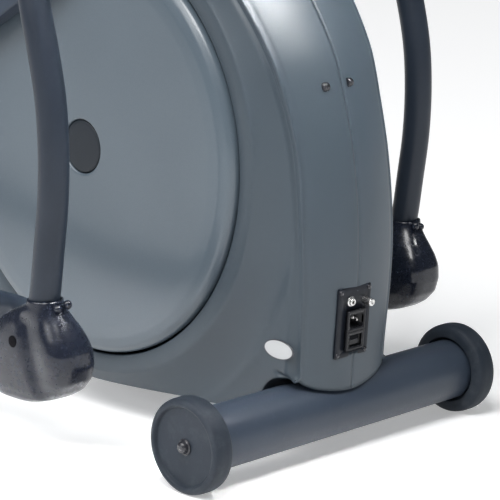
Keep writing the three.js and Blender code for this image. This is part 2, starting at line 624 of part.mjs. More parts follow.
// ---------------------------------------------------------------- swing arms
const SWING_PATH = [
  [-176, 313, 172], [-161, 313, 214], [-150.7, 313, 275], [-141.8, 313, 335], [-139, 313, 393],
  [-142.5, 313, 450], [-154, 313, 505], [-170, 311, 560], [-192, 300, 640], [-210, 272, 740],
  [-216, 232, 850], [-211, 196, 940], [-203, 180, 1000], [-200, 180, 1060], [-206, 196, 1140],
  [-224, 222, 1220], [-254, 246, 1300], [-292, 258, 1370], [-336, 258, 1430], [-384, 250, 1478],
];
const GRIP_FROM = 16; // the first point of the swing path that the hand grip covers
for (const { name, sign } of SIDES) {
  const path = SWING_PATH.map(([x, y, z]) => [x, sign * y, z]);
  const tube = piped(path, disk(SWING_TUBE_R), 26);
  const hub = cut(
    sideRod(sign, SWING_X, SWING_Z, 148, 204 - 6, 27, 28),
    sideRod(sign, SWING_X, SWING_Z, 140, 220, 12 + GAP),
  );
  const eye = sideRod(sign, BOOT.x, BOOT.z, BOOT.y - 20, BOOT.y + 20, 24, 24);
  const pin = sideRod(sign, BOOT.x, BOOT.z, LINK.y + LINK.width / 2 + 2, BOOT.y, 11, 20);
  const bore = sideRod(sign, SWING_X, SWING_Z, 100, 260, 12 + GAP);
  piece(`${name}_swing_arm`, cut(join(tube, hub, eye, pin), bore), PAINT);

  const grip = cut(piped(path.slice(GRIP_FROM), disk(SWING_TUBE_R + 5), 8), piped(path, disk(SWING_TUBE_R + GAP), 26));
  piece(`${name}_hand_grip`, grip.decompose().sort((a, b) => b.volume() - a.volume())[0], RUBBER);

  // The boot: a hood over the swing arm's lower hinge, open below and on its inner side.
  const hood = new THREE.Shape();
  hood.moveTo(-250, 100);
  hood.quadraticCurveTo(-246, 89, -228, 88);
  hood.lineTo(-150, 92);
  hood.quadraticCurveTo(-112, 96, -108, 130);
  hood.quadraticCurveTo(-108, 165, -134, 205);
  hood.lineTo(-138, 216);
  hood.lineTo(-182, 214);
  hood.quadraticCurveTo(-232, 200, -250, 168);
  hood.closePath();
  const wide = { near: 281, far: 345 };
  const ends = [sign * wide.near, sign * wide.far].sort((a, b) => a - b);
  const shell = solid(slab(hood, ends[0], ends[1]));
  const inside = sideBlock(sign, [-244, wide.near - 5, 70], [-120, wide.far - 4, 196]);
  const rearSlot = sideBlock(sign, [-260, wide.near - 5, 70], [-200, wide.far - 14, 190]);
  const tubeHole = piped(path, disk(SWING_TUBE_R + GAP), 26);
  const accessHole = sideRod(sign, BOOT.x - 6, BOOT.z, wide.far - 10, wide.far + 5, 6, 16);
  piece(`${name}_boot`, cut(shell, inside, rearSlot, tubeHole, accessHole), GLOSS_BLACK);
}

// ---------------------------------------------------------------- console, fixed handlebar and grips
{
  const bar = [
    [-395, -118, 1262], [-330, -120, 1236], [-275, -108, 1205], [-262, -60, 1188], [-260, 0, 1183],
    [-262, 60, 1188], [-275, 108, 1205], [-330, 120, 1236], [-395, 118, 1262],
  ];
  const clampEnd = mastX(1185) - MAST.depth / 2 - 1.5;
  const clamp = block([clampEnd - 20, -22, 1165], [clampEnd, 22, 1205]);
  piece("fixed_handlebar", join(piped(bar, disk(14), 24), clamp), PAINT);
  for (const { name, sign } of SIDES) {
    const near = bar.slice(0, 3).map(([x, y, z]) => [x, -sign * y, z]);
    const cover = cut(piped(near, disk(18), 6), piped(bar, disk(14 + GAP), 24));
    piece(`${name}_pulse_grip`, cover.decompose().sort((a, b) => b.volume() - a.volume())[0], SILVER);
  }

  // The head's face looks up and back at the user. Its collar slips over the mast's top.
  const head = new THREE.Group();
  const headTilt = 0.5;
  head.position.set(mastX(MAST.top) + 8, 0, MAST.top + 100);
  head.rotation.y = headTilt;
  root.add(head);
  const collarLow = MAST.top - 40;
  const mastGap = MAST.depth / 2 + 2;
  const collar = cut(
    block([mastX(MAST.top) - 38, -32, collarLow], [mastX(MAST.top) + 38, 32, MAST.top + 60]),
    block([mastX(MAST.top) - mastGap, -25 - GAP, collarLow - 1], [mastX(MAST.top) + mastGap, 25 + GAP, MAST.top + GAP]),
  );
  const collarInHead = collar
    .translate([-head.position.x, 0, -head.position.z])
    .rotate([0, (-headTilt * 180) / Math.PI, 0]);
  const body = cut(
    join(
      block([-14, -140, -85], [26, 140, 95]),
      cut(collarInHead, block([-200, -200, -85], [-14, 200, 200])),
    ),
    block([-20, -92, -12], [-10, 92, 74]),
    block([-20, -62, -72], [-8, -30, -46]),
    block([-20, 30, -72], [-8, 62, -46]),
  );
  piece("console_body", body, MATT_BLACK, head);
  piece("console_screen", block([-13.4, -91.5, -11.5], [-10 - GAP, 91.5, 73.5]), SCREEN, head);
  for (const [button, y] of [["start_button", 46], ["stop_button", -46]])
    piece(button, block([-17, y - 15.5, -71.5], [-11, y + 15.5, -46.5]), SILVER, head);
}

export default root;
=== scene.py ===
import bpy
import numpy as np
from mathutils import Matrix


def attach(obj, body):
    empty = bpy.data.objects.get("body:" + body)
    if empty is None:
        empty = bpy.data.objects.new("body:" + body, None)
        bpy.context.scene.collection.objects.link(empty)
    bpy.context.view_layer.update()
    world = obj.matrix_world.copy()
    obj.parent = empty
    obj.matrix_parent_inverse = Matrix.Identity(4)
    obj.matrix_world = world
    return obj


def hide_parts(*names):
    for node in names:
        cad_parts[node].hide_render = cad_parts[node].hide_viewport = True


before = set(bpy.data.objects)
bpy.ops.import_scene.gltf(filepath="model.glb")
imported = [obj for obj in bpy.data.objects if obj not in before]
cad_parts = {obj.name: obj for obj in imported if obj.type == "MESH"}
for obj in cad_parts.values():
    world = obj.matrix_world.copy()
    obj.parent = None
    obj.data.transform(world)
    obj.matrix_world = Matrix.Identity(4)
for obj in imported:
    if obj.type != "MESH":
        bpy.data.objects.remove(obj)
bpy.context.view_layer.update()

# ---------------------------------------------------------------- front stabilizer
# A 3 inch steel tube across the front of the machine, powder coated dark blue-grey. The main beam is
# welded to its back, and its ends run a little way into the transport wheels.
FLOOR_TO_AXIS = 0.0573
FRONT_X = 0.76885


class Value:
    """One output of a material's nodes. Sums, products and powers of it add Math nodes."""

    def __init__(self, finish, socket):
        self.finish = finish
        self.socket = socket

    def maths(self, operation, first, second):
        return self.finish.node("ShaderNodeMath", {"operation": operation}, {0: first, 1: second})

    def __add__(self, other):
        return self.maths("ADD", self, other)

    def __radd__(self, other):
        return self.maths("ADD", other, self)

    def __sub__(self, other):
        return self.maths("SUBTRACT", self, other)

    def __rsub__(self, other):
        return self.maths("SUBTRACT", other, self)

    def __mul__(self, other):
        return self.maths("MULTIPLY", self, other)

    def __rmul__(self, other):
        return self.maths("MULTIPLY", other, self)

    def __truediv__(self, other):
        return self.maths("DIVIDE", self, other)

    def __pow__(self, other):
        return self.maths("POWER", self, other)


class Finish:
    """A material: its even values are set on the shader, and what varies is fed from nodes."""

    def __init__(self, name, **even):
        self.material = bpy.data.materials.new(name)
        self.material.use_nodes = True
        self.tree = self.material.node_tree
        self.shader = self.tree.nodes["Principled BSDF"]
        for socket, value in even.items():
            self.shader.inputs[socket.replace("_", " ")].default_value = value

    def node(self, kind, settings=None, sockets=None, out=0):
        """One node: its settings first, then the values or links of its sockets."""
        made = self.tree.nodes.new(kind)
        for key, value in (settings or {}).items():
            if key == "stops":
                while len(made.color_ramp.elements) < len(value):
                    made.color_ramp.elements.new(0.5)
                for element, (place, tone) in zip(made.color_ramp.elements, value):
                    element.position = place
                    element.color = (*tone, 1) if hasattr(tone, "__len__") else (tone, tone, tone, 1)
            else:
                setattr(made, key, value)
        for key, value in (sockets or {}).items():
            if isinstance(value, Value):
                self.tree.links.new(value.socket, made.inputs[key])
            else:
                made.inputs[key].default_value = value
        return Value(self, made.outputs[out])

    def places(self, stretch=(1, 1, 1), centre=(0, 0, 0)):
        """Object coordinates, moved so that centre is at nought, then stretched."""
        moved = self.node("ShaderNodeTexCoord", out="Object")
        shift = {"Location": tuple(-s * c for s, c in zip(stretch, centre)), "Scale": stretch}
        return self.node("ShaderNodeMapping", {}, {"Vector": moved, **shift})

    def noise(self, scale, detail=2.0, rough=0.5, where=None):
        """Cloudy noise about 0.5, with features about 1 / scale metres across."""
        inputs = {"Vector": where or self.places(), "Scale": scale, "Detail": detail, "Roughness": rough}
        return self.node("ShaderNodeTexNoise", {}, inputs)

    def spread(self, value, low, high, to_low, to_high):
        """The value's stretch from low to high, carried over to another stretch."""
        inputs = {0: value, 1: low, 2: high, 3: to_low, 4: to_high}
        return self.node("ShaderNodeMapRange", {"clamp": True}, inputs)

    def between(self, noise, low, high):
        """The middle of a noise, from 0.3 to 0.7, carried over to the stretch from low to high."""
        return self.spread(noise, 0.3, 0.7, low, high)

    def mixed(self, share, one, two):
        """A colour between two, by share."""
        inputs = {0: share}
        for key, tone in ((6, one), (7, two)):
            inputs[key] = tone if isinstance(tone, Value) else (*tone, 1)
        return self.node("ShaderNodeMix", {"data_type": "RGBA"}, inputs, out=2)

    def feed(self, socket, value):
        self.tree.links.new(value.socket, self.shader.inputs[socket])

    def toned(self, share, one, two):
        """The base colour runs from one to the other by share."""
        self.feed("Base Color", self.mixed(share, one, two))

    def grain(self, height, distance, strength=1.0):
        """Bump by a height from 0 to 1, which stands for distance metres."""
        inputs = {"Height": height, "Distance": distance, "Strength": strength}
        self.feed("Normal", self.node("ShaderNodeBump", {}, inputs))


def powder_coat(name, tone, rough=0.42):
    """Powder coat: fine orange peel, cloudy tone and faint scuffs that shine a little more."""
    coat = Finish(name, Metallic=0.0, Specular_IOR_Level=0.32, Coat_Weight=0.05, Coat_Roughness=0.3)
    cloud = coat.noise(9, 3)
    peel = coat.noise(620, 2)
    scuff = coat.spread(coat.noise(70, 6, 0.7), 0.6, 0.75, 0, 1)
    pale = tuple(min(1, 1.22 * c + 0.012) for c in tone)
    base = coat.mixed(coat.between(cloud, 0, 0.55), tone, pale)
    coat.toned(scuff * 0.22, base, tuple(1.6 * c + 0.02 for c in tone))
    coat.feed("Roughness", coat.between(peel, rough - 0.05, rough + 0.06) - scuff * 0.08)
    coat.grain(peel * 0.7 + cloud * 0.3, 0.00006)
    return coat


def speckled(name, scale, detail, dark, pale, low, high, depth, rough=0.5, stretch=(1, 1, 1), **even):
    """A plain finish: one fine noise shades its colour and its roughness and raises its grain."""
    plain = Finish(name, **even)
    speck = plain.noise(scale, detail, rough, plain.places(stretch))
    plain.toned(speck, dark, pale)
    plain.feed("Roughness", plain.between(speck, low, high))
    plain.grain(speck, depth)
    return plain


FRAME_COAT = powder_coat("frame_powder_coat", (0.029, 0.040, 0.059), 0.38)


def surface(name, grid, finish, body, stands_for=(), round_u=False, round_v=True):
    """A piece from a grid of points, shape (rows, columns, 3), joined by quads.

    round_u joins the last row to the first, and round_v the last column to the first. Points that fall
    on one another, as at a pole, are merged, and then the faces are made to point outwards.
    """
    rows, columns = grid.shape[:2]
    u = np.arange(rows if round_u else rows - 1)[:, None]
    v = np.arange(columns if round_v else columns - 1)[None, :]
    next_u = (u + 1) % rows
    next_v = (v + 1) % columns
    corners = [u * columns + v, next_u * columns + v, next_u * columns + next_v, u * columns + next_v]
    quads = np.stack([np.broadcast_to(c, (len(u), v.shape[1])) for c in corners], -1).reshape(-1, 4)
    return piece_from(name, grid.reshape(-1, 3), quads, finish, body, stands_for)


def piece_from(name, points, faces, finish, body, stands_for=()):
    """A piece from points and faces, cleaned, shaded and given to its body."""
    mesh = bpy.data.meshes.new(name)
    mesh.from_pydata(points.tolist(), [], faces.tolist())
    tidy_faces(mesh)
    mesh.polygons.foreach_set("use_smooth", np.full(len(mesh.polygons), True))
    mesh.materials.append(finish.material)
    made = bpy.data.objects.new(name, mesh)
    bpy.context.scene.collection.objects.link(made)
    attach(made, body)
    if stands_for:
        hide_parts(*stands_for)
    return made


def tidy_faces(mesh):
    """Merges points that coincide, then turns every face outwards."""
    import bmesh

    work = bmesh.new()
    work.from_mesh(mesh)
    bmesh.ops.remove_doubles(work, verts=work.verts, dist=1e-6)
    bmesh.ops.recalc_face_normals(work, faces=work.faces)
    work.to_mesh(mesh)
    work.free()


def eased(corners, radius=0.001, steps=4):
    """A profile of (radius, along) corners with each inner corner turned into a small arc.

    Each arc is the quadratic curve from a point short of the corner to a point past it.
    """
    corners = np.asarray(corners, float)
    radii = np.broadcast_to(radius, len(corners))
    out = [corners[:1]]
    t = np.linspace(0, 1, steps + 1)[:, None]
    for before, here, after, r in zip(corners, corners[1:], corners[2:], radii[1:]):
        back = before - here
        on = after - here
        a = here + back * min(0.45, r / max(np.linalg.norm(back), 1e-9))
        b = here + on * min(0.45, r / max(np.linalg.norm(on), 1e-9))
        out.append((1 - t) ** 2 * a + 2 * t * (1 - t) * here + t**2 * b)
    out.append(corners[-1:])
    return np.concatenate(out)


def turned(profile, x, z, sides=96):
    """A (radius, y) profile turned round the line along Y at (x, z): x + r cos a, y, z + r sin a."""
    a = np.linspace(0, 2 * np.pi, sides, endpoint=False)
    r = profile[:, :1]
    y = np.broadcast_to(profile[:, 1:], (len(profile), sides))
    return np.stack([x + r * np.cos(a), y, z + r * np.sin(a)], -1)


tube_end = 0.2228
stabilizer = eased(
    [(0, -tube_end), (0.0381, -tube_end), (0.0381, -0.1), (0.0381, 0.1), (0.0381, tube_end), (0, tube_end)],
    0.0015,
)
surface(
    "front_tube", turned(stabilizer, FRONT_X, FLOOR_TO_AXIS, 120), FRAME_COAT, "frame",
    ["front_stabilizer"],
)

# ---------------------------------------------------------------- transport wheels
# Two moulded hard-rubber wheels, pressed over the tube's ends so that the machine can be tipped and
# rolled. Each has a raised rim round a flat face, and a dark domed bolt with a washer.
SIDES = (("right", -1), ("left", 1))
wheel_rubber = Finish("wheel_rubber", Metallic=0.0, Specular_IOR_Level=0.24)
wheel_speck = wheel_rubber.noise(900, 3)
wheel_dust = wheel_rubber.spread(wheel_rubber.noise(45, 5, 0.7), 0.5, 0.8, 0, 1)
wheel_cloud = wheel_rubber.between(wheel_rubber.noise(14, 2), 0, 1)
wheel_tone = wheel_rubber.mixed(wheel_cloud, (0.014, 0.020, 0.029), (0.023, 0.030, 0.041))
wheel_rubber.toned(wheel_dust * 0.3, wheel_tone, (0.10, 0.11, 0.12))
wheel_rubber.feed("Roughness", wheel_rubber.between(wheel_speck, 0.5, 0.64) + wheel_dust * 0.1)
wheel_rubber.grain(wheel_speck, 0.00009)
bolt_black = Finish("black_oxide_steel", Metallic=0.0, Specular_IOR_Level=0.6)
bolt_black.toned(bolt_black.noise(160, 3), (0.012, 0.013, 0.018), (0.03, 0.03, 0.036))
bolt_black.feed("Roughness", bolt_black.between(bolt_black.noise(420, 3), 0.16, 0.3))

for side, sign in SIDES:
    inner = 0.2163
    rim = [
        (0.0066, 0.0082), (0.0408, 0.0082), (0.0412, 0.0002), (0.0440, 0.0), (0.0500, 0.0008),
        (0.0560, 0.0040), (0.0573, 0.0100), (0.0573, 0.0225), (0.0560, 0.0285), (0.0520, 0.0310),
        (0.0485, 0.0308), (0.0468, 0.0280), (0.0462, 0.0262), (0.0200, 0.0258), (0.0066, 0.0258),
        (0.0066, 0.0082),
    ]
    wheel = eased(rim, 0.0022, 5) * (1, sign) + (0, sign * inner)
    surface(
        f"{side}_wheel", turned(wheel, FRONT_X, FLOOR_TO_AXIS, 120), wheel_rubber, f"{side}_wheel",
        [f"{side}_transport_wheel"],
    )
    washer_y = inner + 0.0261
    dome = [(0, 0), (0.0098, 0), (0.0098, 0.0014), (0.0078, 0.0018), (0.0075, 0.0040), (0.0064, 0.0068)]
    bolt = eased([*dome, (0.0038, 0.0083), (0, 0.0088)], 0.001) * (1, sign) + (0, sign * washer_y)
    surface(
        f"{side}_bolt", turned(bolt, FRONT_X, FLOOR_TO_AXIS, 48), bolt_black, "frame",
        [f"{side}_wheel_bolt"],
    )

# ---------------------------------------------------------------- casing
# Two moulded plastic halves that meet on the centre plane. Each has a flat ring round its crank
# disc, a flank that falls to the crowned front face, and a foot that arches over the front tube.
CRANK_X, CRANK_Z = 0.44935, 0.3494
RING_R = 0.2684
CASING_WALL = 0.0028
PANEL_MIDDLE = (-0.004, 0.169)

casing_grey = Finish(
    "casing_plastic", Metallic=0.0, Specular_IOR_Level=0.5, Coat_Weight=0.05, Coat_Roughness=0.3
)
casing_speck = casing_grey.noise(1500, 3)
casing_cloud = casing_grey.noise(6, 3)
casing_shade = casing_grey.between(casing_cloud, 0, 1)
casing_tone = casing_grey.mixed(casing_shade, (0.034, 0.049, 0.064), (0.041, 0.057, 0.073))
casing_grey.toned(casing_grey.spread(casing_speck, 0.35, 0.65, 0, 0.12), casing_tone, (0.08, 0.10, 0.12))
casing_grey.feed("Roughness", casing_grey.between(casing_speck, 0.40, 0.50))
casing_grey.grain(casing_speck * 0.8 + casing_cloud * 0.2, 0.00005)

# The front edge on the centre plane, (x, z), from the lip over the front tube up to the top.
FRONT_EDGE = np.array(
    [
        (0.80255, 0.0820), (0.8036, 0.100), (0.8049, 0.120), (0.8120, 0.213), (0.81335, 0.255),
        (0.81185, 0.300), (0.80705, 0.348), (0.79885, 0.394), (0.77895, 0.465), (0.76215, 0.502),
        (0.73875, 0.539), (0.71385, 0.570), (0.686, 0.592), (0.655, 0.609), (0.5980, 0.6098),
    ]
)


def smooth(value, low, high):
    """The smooth step from 0 at low to 1 at high: t squared times (3 - 2 t)."""
    t = np.clip((value - low) / (high - low), 0, 1)
    return t * t * (3 - 2 * t)


def flowing(points, count):
    """A Catmull-Rom curve through the points, sampled evenly by its own length."""
    points = np.asarray(points, float)
    ends = np.concatenate([[2 * points[0] - points[1]], points, [2 * points[-1] - points[-2]]])
    t = np.linspace(0, 1, 24, endpoint=False)[:, None, None]
    a, b, c, d = ends[:-3], ends[1:-2], ends[2:-1], ends[3:]
    fine = 0.5 * (2 * b + (c - a) * t + (2 * a - 5 * b + 4 * c - d) * t**2 + (3 * b - a - 3 * c + d) * t**3)
    fine = np.concatenate([fine.transpose(1, 0, 2).reshape(-1, points.shape[1]), points[-1:]])
    along = np.concatenate([[0], np.cumsum(np.linalg.norm(np.diff(fine, axis=0), axis=1))])
    even = np.linspace(0, along[-1], count)
    return np.stack([np.interp(even, along, fine[:, i]) for i in range(points.shape[1])], -1)


FRONT_LINE = flowing(FRONT_EDGE, 150)
BACK_TURN = np.radians(np.linspace(60.5, 270, 190)[1:])
BACK_REACH = 0.300 + 0.007 * smooth(np.degrees(BACK_TURN), 225, 268)
BACK_LINE = np.stack(
    [CRANK_X + BACK_REACH * np.cos(BACK_TURN), CRANK_Z + BACK_REACH * np.sin(BACK_TURN)], -1
)
FRONT_CROWN = 2.74


def casing_line(y):
    """The casing's outline at a distance y from the centre plane, as (x, z) for each column.

    The front is drawn back by the crown, 2.74 per metre, times y squared. The lip is where it meets the
    arch, an oval round the front tube that is taller at the sides, and the lip's lift fades upwards.
    """
    share = smooth(y, 0.050, 0.085)
    across = 0.0426 - 0.0008 * share
    high = 0.0426 + 0.0071 * share
    middle = FRONT_X + 0.002 * share
    lip_x = FRONT_LINE[0, 0] - FRONT_CROWN * y**2
    lip_angle = np.arccos(np.clip((lip_x - middle) / across, -1, 1))
    lip_z = FLOOR_TO_AXIS + high * np.sin(lip_angle)
    z = FRONT_LINE[:, 1] + (lip_z - FRONT_LINE[0, 1]) * (1 - smooth(FRONT_LINE[:, 1], 0.082, 0.21))
    x = FRONT_LINE[:, 0] - FRONT_CROWN * y**2 * smooth(FRONT_LINE[:, 0], 0.64, 0.73)
    arch_turn = np.linspace(np.radians(166), lip_angle, 52)[:-1]
    arch = np.stack([middle + across * np.cos(arch_turn), FLOOR_TO_AXIS + high * np.sin(arch_turn)], -1)
    knots = [BACK_LINE[-1], (0.6038, 0.0488), (0.6888, 0.0545), arch[0]]
    under = flowing(knots, 60)[1:-1]
    return np.concatenate([np.stack([x, z], -1), BACK_LINE, under, arch])


def casing_half(sign):
    """A grid whose columns run out from the crank: over the side, round the edge and in to the seam.

    On the side the half-width falls from the ring to the edge along a cove in the foot and a
    straighter flank in front, with a narrow groove just before the front face.
    """
    middle_line = casing_line(0)
    degrees = np.degrees(np.arctan2(middle_line[:, 1] - CRANK_Z, middle_line[:, 0] - CRANK_X))
    knots = [-180, -150, -125, -112, -60, -48, -38.5, -36, -25, -14, 0, 6, 13, 23, 38, 48, 60, 90, 180]
    widths = [97, 97, 94, 84.5, 84.5, 84.5, 84.5, 74, 77, 79, 77.5, 77, 79, 85, 92, 95, 97, 98, 97]
    edge = np.interp(degrees, knots, widths) / 1000
    corner = np.array([casing_line(y)[i] for i, y in enumerate(edge)])
    out = corner - (CRANK_X, CRANK_Z)
    reach = np.hypot(*out.T)
    ray = out / reach[:, None]
    foot = smooth(degrees, -128, -108) * (1 - smooth(degrees, -26, -8))
    front = smooth(degrees, -37.5, -36.5) * (1 - smooth(degrees, 42, 62))

    def row(r, y):
        flat = (CRANK_X, CRANK_Z) + ray * np.reshape(r, (-1, 1))
        return np.stack([flat[:, 0], np.broadcast_to(y, len(ray)), flat[:, 1]], -1)

    lip = [(RING_R, 0.094), (RING_R, 0.103), (0.2688, 0.1044), (0.2698, 0.105), (0.288, 0.105)]
    rows = [row(r, y) for r, y in [*lip, (0.2905, 0.1047)]]
    rim = 0.2918
    for t in np.linspace(0.01, 1, 46):
        r = rim + (reach - rim) * t
        short = reach - r
        cove = 0.0845 + 0.0200 * np.clip(1 - (r - rim) / 0.056, 0, 1) ** 1.6
        cove += 0.0016 * np.exp(-(((r - rim - 0.062) / 0.007) ** 2))
        into_edge = smooth(short, 0.017, 0.003) * front
        foot_y = cove * (1 - into_edge) + edge * into_edge
        flank = 0.1043 + (edge - 0.1043) * t**0.85
        groove = 0.0028 * np.exp(-(((short - 0.0065) / 0.0030) ** 2)) * smooth(t, 0.4, 0.8) * front
        rows.append(row(r, foot_y * foot + (flank - groove) * (1 - foot)))
    for k, proud in ((0.0007, 0.0005), (0.0022, 0.0009), (0.0042, 0.0006)):
        rows.append(row(reach + proud * front, edge - k))
    for t in np.linspace(0, 1, 20)[1:]:
        y = (edge - 0.0042) * (1 - t) + 0.00008 * t
        flat = np.array([casing_line(each)[i] for i, each in enumerate(y)])
        rows.append(np.stack([flat[:, 0], y, flat[:, 1]], -1))
    return np.array(rows) * (1, sign, 1)


def opened(piece, middle, half_y, half_z, behind):
    """Takes away the faces in front of x = behind that lie within an upright window."""
    import bmesh

    work = bmesh.new()
    work.from_mesh(piece.data)
    inside = []
    for face in work.faces:
        x, y, z = face.calc_center_median()
        if x > behind and abs(y - middle[0]) < half_y and abs(z - middle[1]) < half_z:
            inside.append(face)
    bmesh.ops.delete(work, geom=inside, context="FACES")
    work.to_mesh(piece.data)
    work.free()


for side, sign in SIDES:
    half = surface(
        f"{side}_casing_half", casing_half(sign), casing_grey, "frame",
        [f"{side}_casing"],
    )
    opened(half, PANEL_MIDDLE, 0.0245, 0.0385, behind=0.77)
    wall = half.modifiers.new("wall", "SOLIDIFY")
    wall.thickness = CASING_WALL
    wall.offset = -1

# ---------------------------------------------------------------- crank discs and caps
# Two round plastic covers that turn with the crank and fill the casing's openings. Each curves over at
# its edge, and a separate cap clips into its middle.
disc_grey = Finish(
    "disc_plastic", Metallic=0.0, Specular_IOR_Level=0.5, Coat_Weight=0.45, Coat_Roughness=0.2
)
disc_speck = disc_grey.noise(1400, 3)
disc_cloud = disc_grey.noise(5, 2)
disc_shade = disc_grey.between(disc_cloud, 0, 1)
disc_tone = disc_grey.mixed(disc_shade, (0.064, 0.088, 0.111), (0.075, 0.101, 0.125))
disc_grey.toned(disc_grey.spread(disc_speck, 0.35, 0.65, 0, 0.1), disc_tone, (0.2, 0.23, 0.26))
disc_grey.feed("Roughness", disc_grey.between(disc_speck, 0.34, 0.42))
disc_grey.grain(disc_speck * 0.6 + disc_cloud * 0.4, 0.00004)
cap_grey = speckled(
    "cap_plastic", 1300, 3, (0.011, 0.015, 0.021), (0.018, 0.023, 0.030), 0.40, 0.50, 0.00005,
    Metallic=0.0, Specular_IOR_Level=0.28, Coat_Weight=0.02, Coat_Roughness=0.3,
)

for side, sign in SIDES:
    bulge = [
        (0.0344, 0.1148), (0.0344, 0.1172), (0.0362, 0.1187), (0.1200, 0.1190), (0.2300, 0.1188),
        (0.2460, 0.1175), (0.2575, 0.1140), (0.2635, 0.1085), (0.2650, 0.1030), (0.2650, 0.0980),
        (0.2618, 0.0980), (0.2615, 0.1030), (0.2520, 0.1120), (0.2300, 0.1152), (0.0344, 0.1150),
        (0.0344, 0.1148),
    ]
    disc = eased(bulge, 0.003, 5) * (1, sign)
    surface(
        f"{side}_disc", turned(disc, CRANK_X, CRANK_Z, 200), disc_grey, "crank",
        [f"{side}_crank_disc"],
    )
    button = [(0, 0.1182), (0.018, 0.11815), (0.0300, 0.1178), (0.0330, 0.1168), (0.0333, 0.1142)]
    button.append((0, 0.1142))
    surface(
        f"{side}_cap", turned(eased(button, 0.0012) * (1, sign), CRANK_X, CRANK_Z, 96), cap_grey,
        "crank", [f"{side}_disc_cap"],
    )

# ---------------------------------------------------------------- swing arms
# One bent 36 mm steel tube on each side, powder coated. A sleeve is welded across it at the swing
# axle, the top carries a foam grip, and the lower end carries the pivot for the foot link.
SWING_X, SWING_Z = 0.565903, 1.0
BOOT_PIVOT = (0.58885, 0.165)
SWING_PATH = np.array(
    [
        (-176, 313, 172), (-161, 313, 214), (-150.7, 313, 275), (-141.8, 313, 335), (-139, 313, 393),
        (-142.5, 313, 450), (-154, 313, 505), (-170, 311, 560), (-192, 300, 640), (-210, 272, 740),
        (-216, 232, 850), (-211, 196, 940), (-203, 180, 1000), (-200, 180, 1060), (-206, 196, 1140),
        (-224, 222, 1220), (-254, 246, 1300), (-292, 258, 1370), (-336, 258, 1430), (-384, 250, 1478),
    ]
) / 1000 + (FRONT_X, 0, 0)


def swept(path, section, sizes=None):
    """A section of (across, up) points carried square to a path of (x, y, z) points.

    The frame at each point is the last one turned by the least that keeps it square to the path. The
    ends close to a point at their middle. sizes scales the section along the path.
    """
    ahead = np.gradient(path, axis=0)
    ahead /= np.linalg.norm(ahead, axis=1)[:, None]
    across = np.cross(ahead[0], (0, 0, 1.0))
    if np.linalg.norm(across) < 0.2:
        across = np.cross(ahead[0], (0, 1.0, 0))
    sides = []
    for way in ahead:
        across = across - way * (across @ way)
        across /= np.linalg.norm(across)
        sides.append(across)
    sides = np.array(sides)
    ups = np.cross(sides, ahead)
    scale = np.ones(len(path)) if sizes is None else np.asarray(sizes, float)
    offsets = sides[:, None] * section[None, :, :1] + ups[:, None] * section[None, :, 1:]
    return capped(path[:, None] + offsets * scale[:, None, None])


def capped(rings):
    """Rings closed by a point at the middle of the first one and of the last one."""
    ends = [np.broadcast_to(rings[i].mean(axis=0), (1, *rings[i].shape)) for i in (0, -1)]
    return np.concatenate([ends[0], rings, ends[1]])


def circle(radius, sides=40):
    a = np.linspace(0, 2 * np.pi, sides, endpoint=False)
    return radius * np.stack([np.cos(a), np.sin(a)], -1)


def joined(name, parts):
    """Several pieces made one, keeping the first one's body."""
    with bpy.context.temp_override(active_object=parts[0], selected_editable_objects=parts):
        bpy.ops.object.join()
    parts[0].name = name
    return parts[0]


grip_foam = Finish("grip_foam", Metallic=0.0, Specular_IOR_Level=0.3)
foam_pores = grip_foam.noise(1900, 4, 0.7)
foam_wear = grip_foam.spread(grip_foam.noise(24, 4), 0.45, 0.75, 0, 1)
grip_foam.toned(foam_wear * 0.4, (0.020, 0.021, 0.024), (0.045, 0.046, 0.050))
grip_foam.feed("Roughness", grip_foam.between(foam_pores, 0.72, 0.9) - foam_wear * 0.12)
grip_foam.grain(foam_pores, 0.0003)

SWING_COAT = powder_coat("swing_powder_coat", (0.011, 0.017, 0.028), 0.42)
swing_line = flowing(SWING_PATH, 260)
grip_start = np.argmax(swing_line[:, 2] > 1.292)
for side, sign in SIDES:
    body = f"{side}_swing_bar"
    line = swing_line * (1, sign, 1)
    tube = surface(
        f"{side}_swing_tube", swept(line[:-2], circle(0.018)), SWING_COAT, body,
        [f"{side}_swing_arm"],
    )
    sleeve_profile = [(0.0128, 0.149), (0.0250, 0.149), (0.0270, 0.151), (0.0270, 0.196)]
    sleeve_profile += [(0.0250, 0.198), (0.0128, 0.198), (0.0128, 0.149)]
    sleeve = surface(
        f"{side}_sleeve", turned(eased(sleeve_profile, 0.0012) * (1, sign), SWING_X, SWING_Z, 64),
        SWING_COAT, body,
    )
    pin_profile = [(0, 0.2722), (0.0105, 0.2722), (0.0110, 0.2735), (0.0110, 0.294), (0.0240, 0.294)]
    pin_profile += [(0.0240, 0.332), (0, 0.332)]
    pin = surface(
        f"{side}_lower_pin", turned(eased(pin_profile, 0.001) * (1, sign), *BOOT_PIVOT, 48), SWING_COAT,
        body,
    )
    joined(f"{side}_swing_tube", [tube, sleeve, pin])
    grip_line = line[grip_start:]
    along = np.linspace(0, 1, len(grip_line))
    swell = 1 + 0.012 * np.sin(along * np.pi * 11) ** 2
    swell *= np.sqrt(np.clip(1 - np.clip((along - 0.965) / 0.035, 0, 1) ** 2, 0.02, 1))
    swell *= 0.93 + 0.07 * smooth(along, 0, 0.012)
    surface(
        f"{side}_grip", swept(grip_line, circle(0.0226, 48), swell), grip_foam, body,
        [f"{side}_hand_grip"],
    )
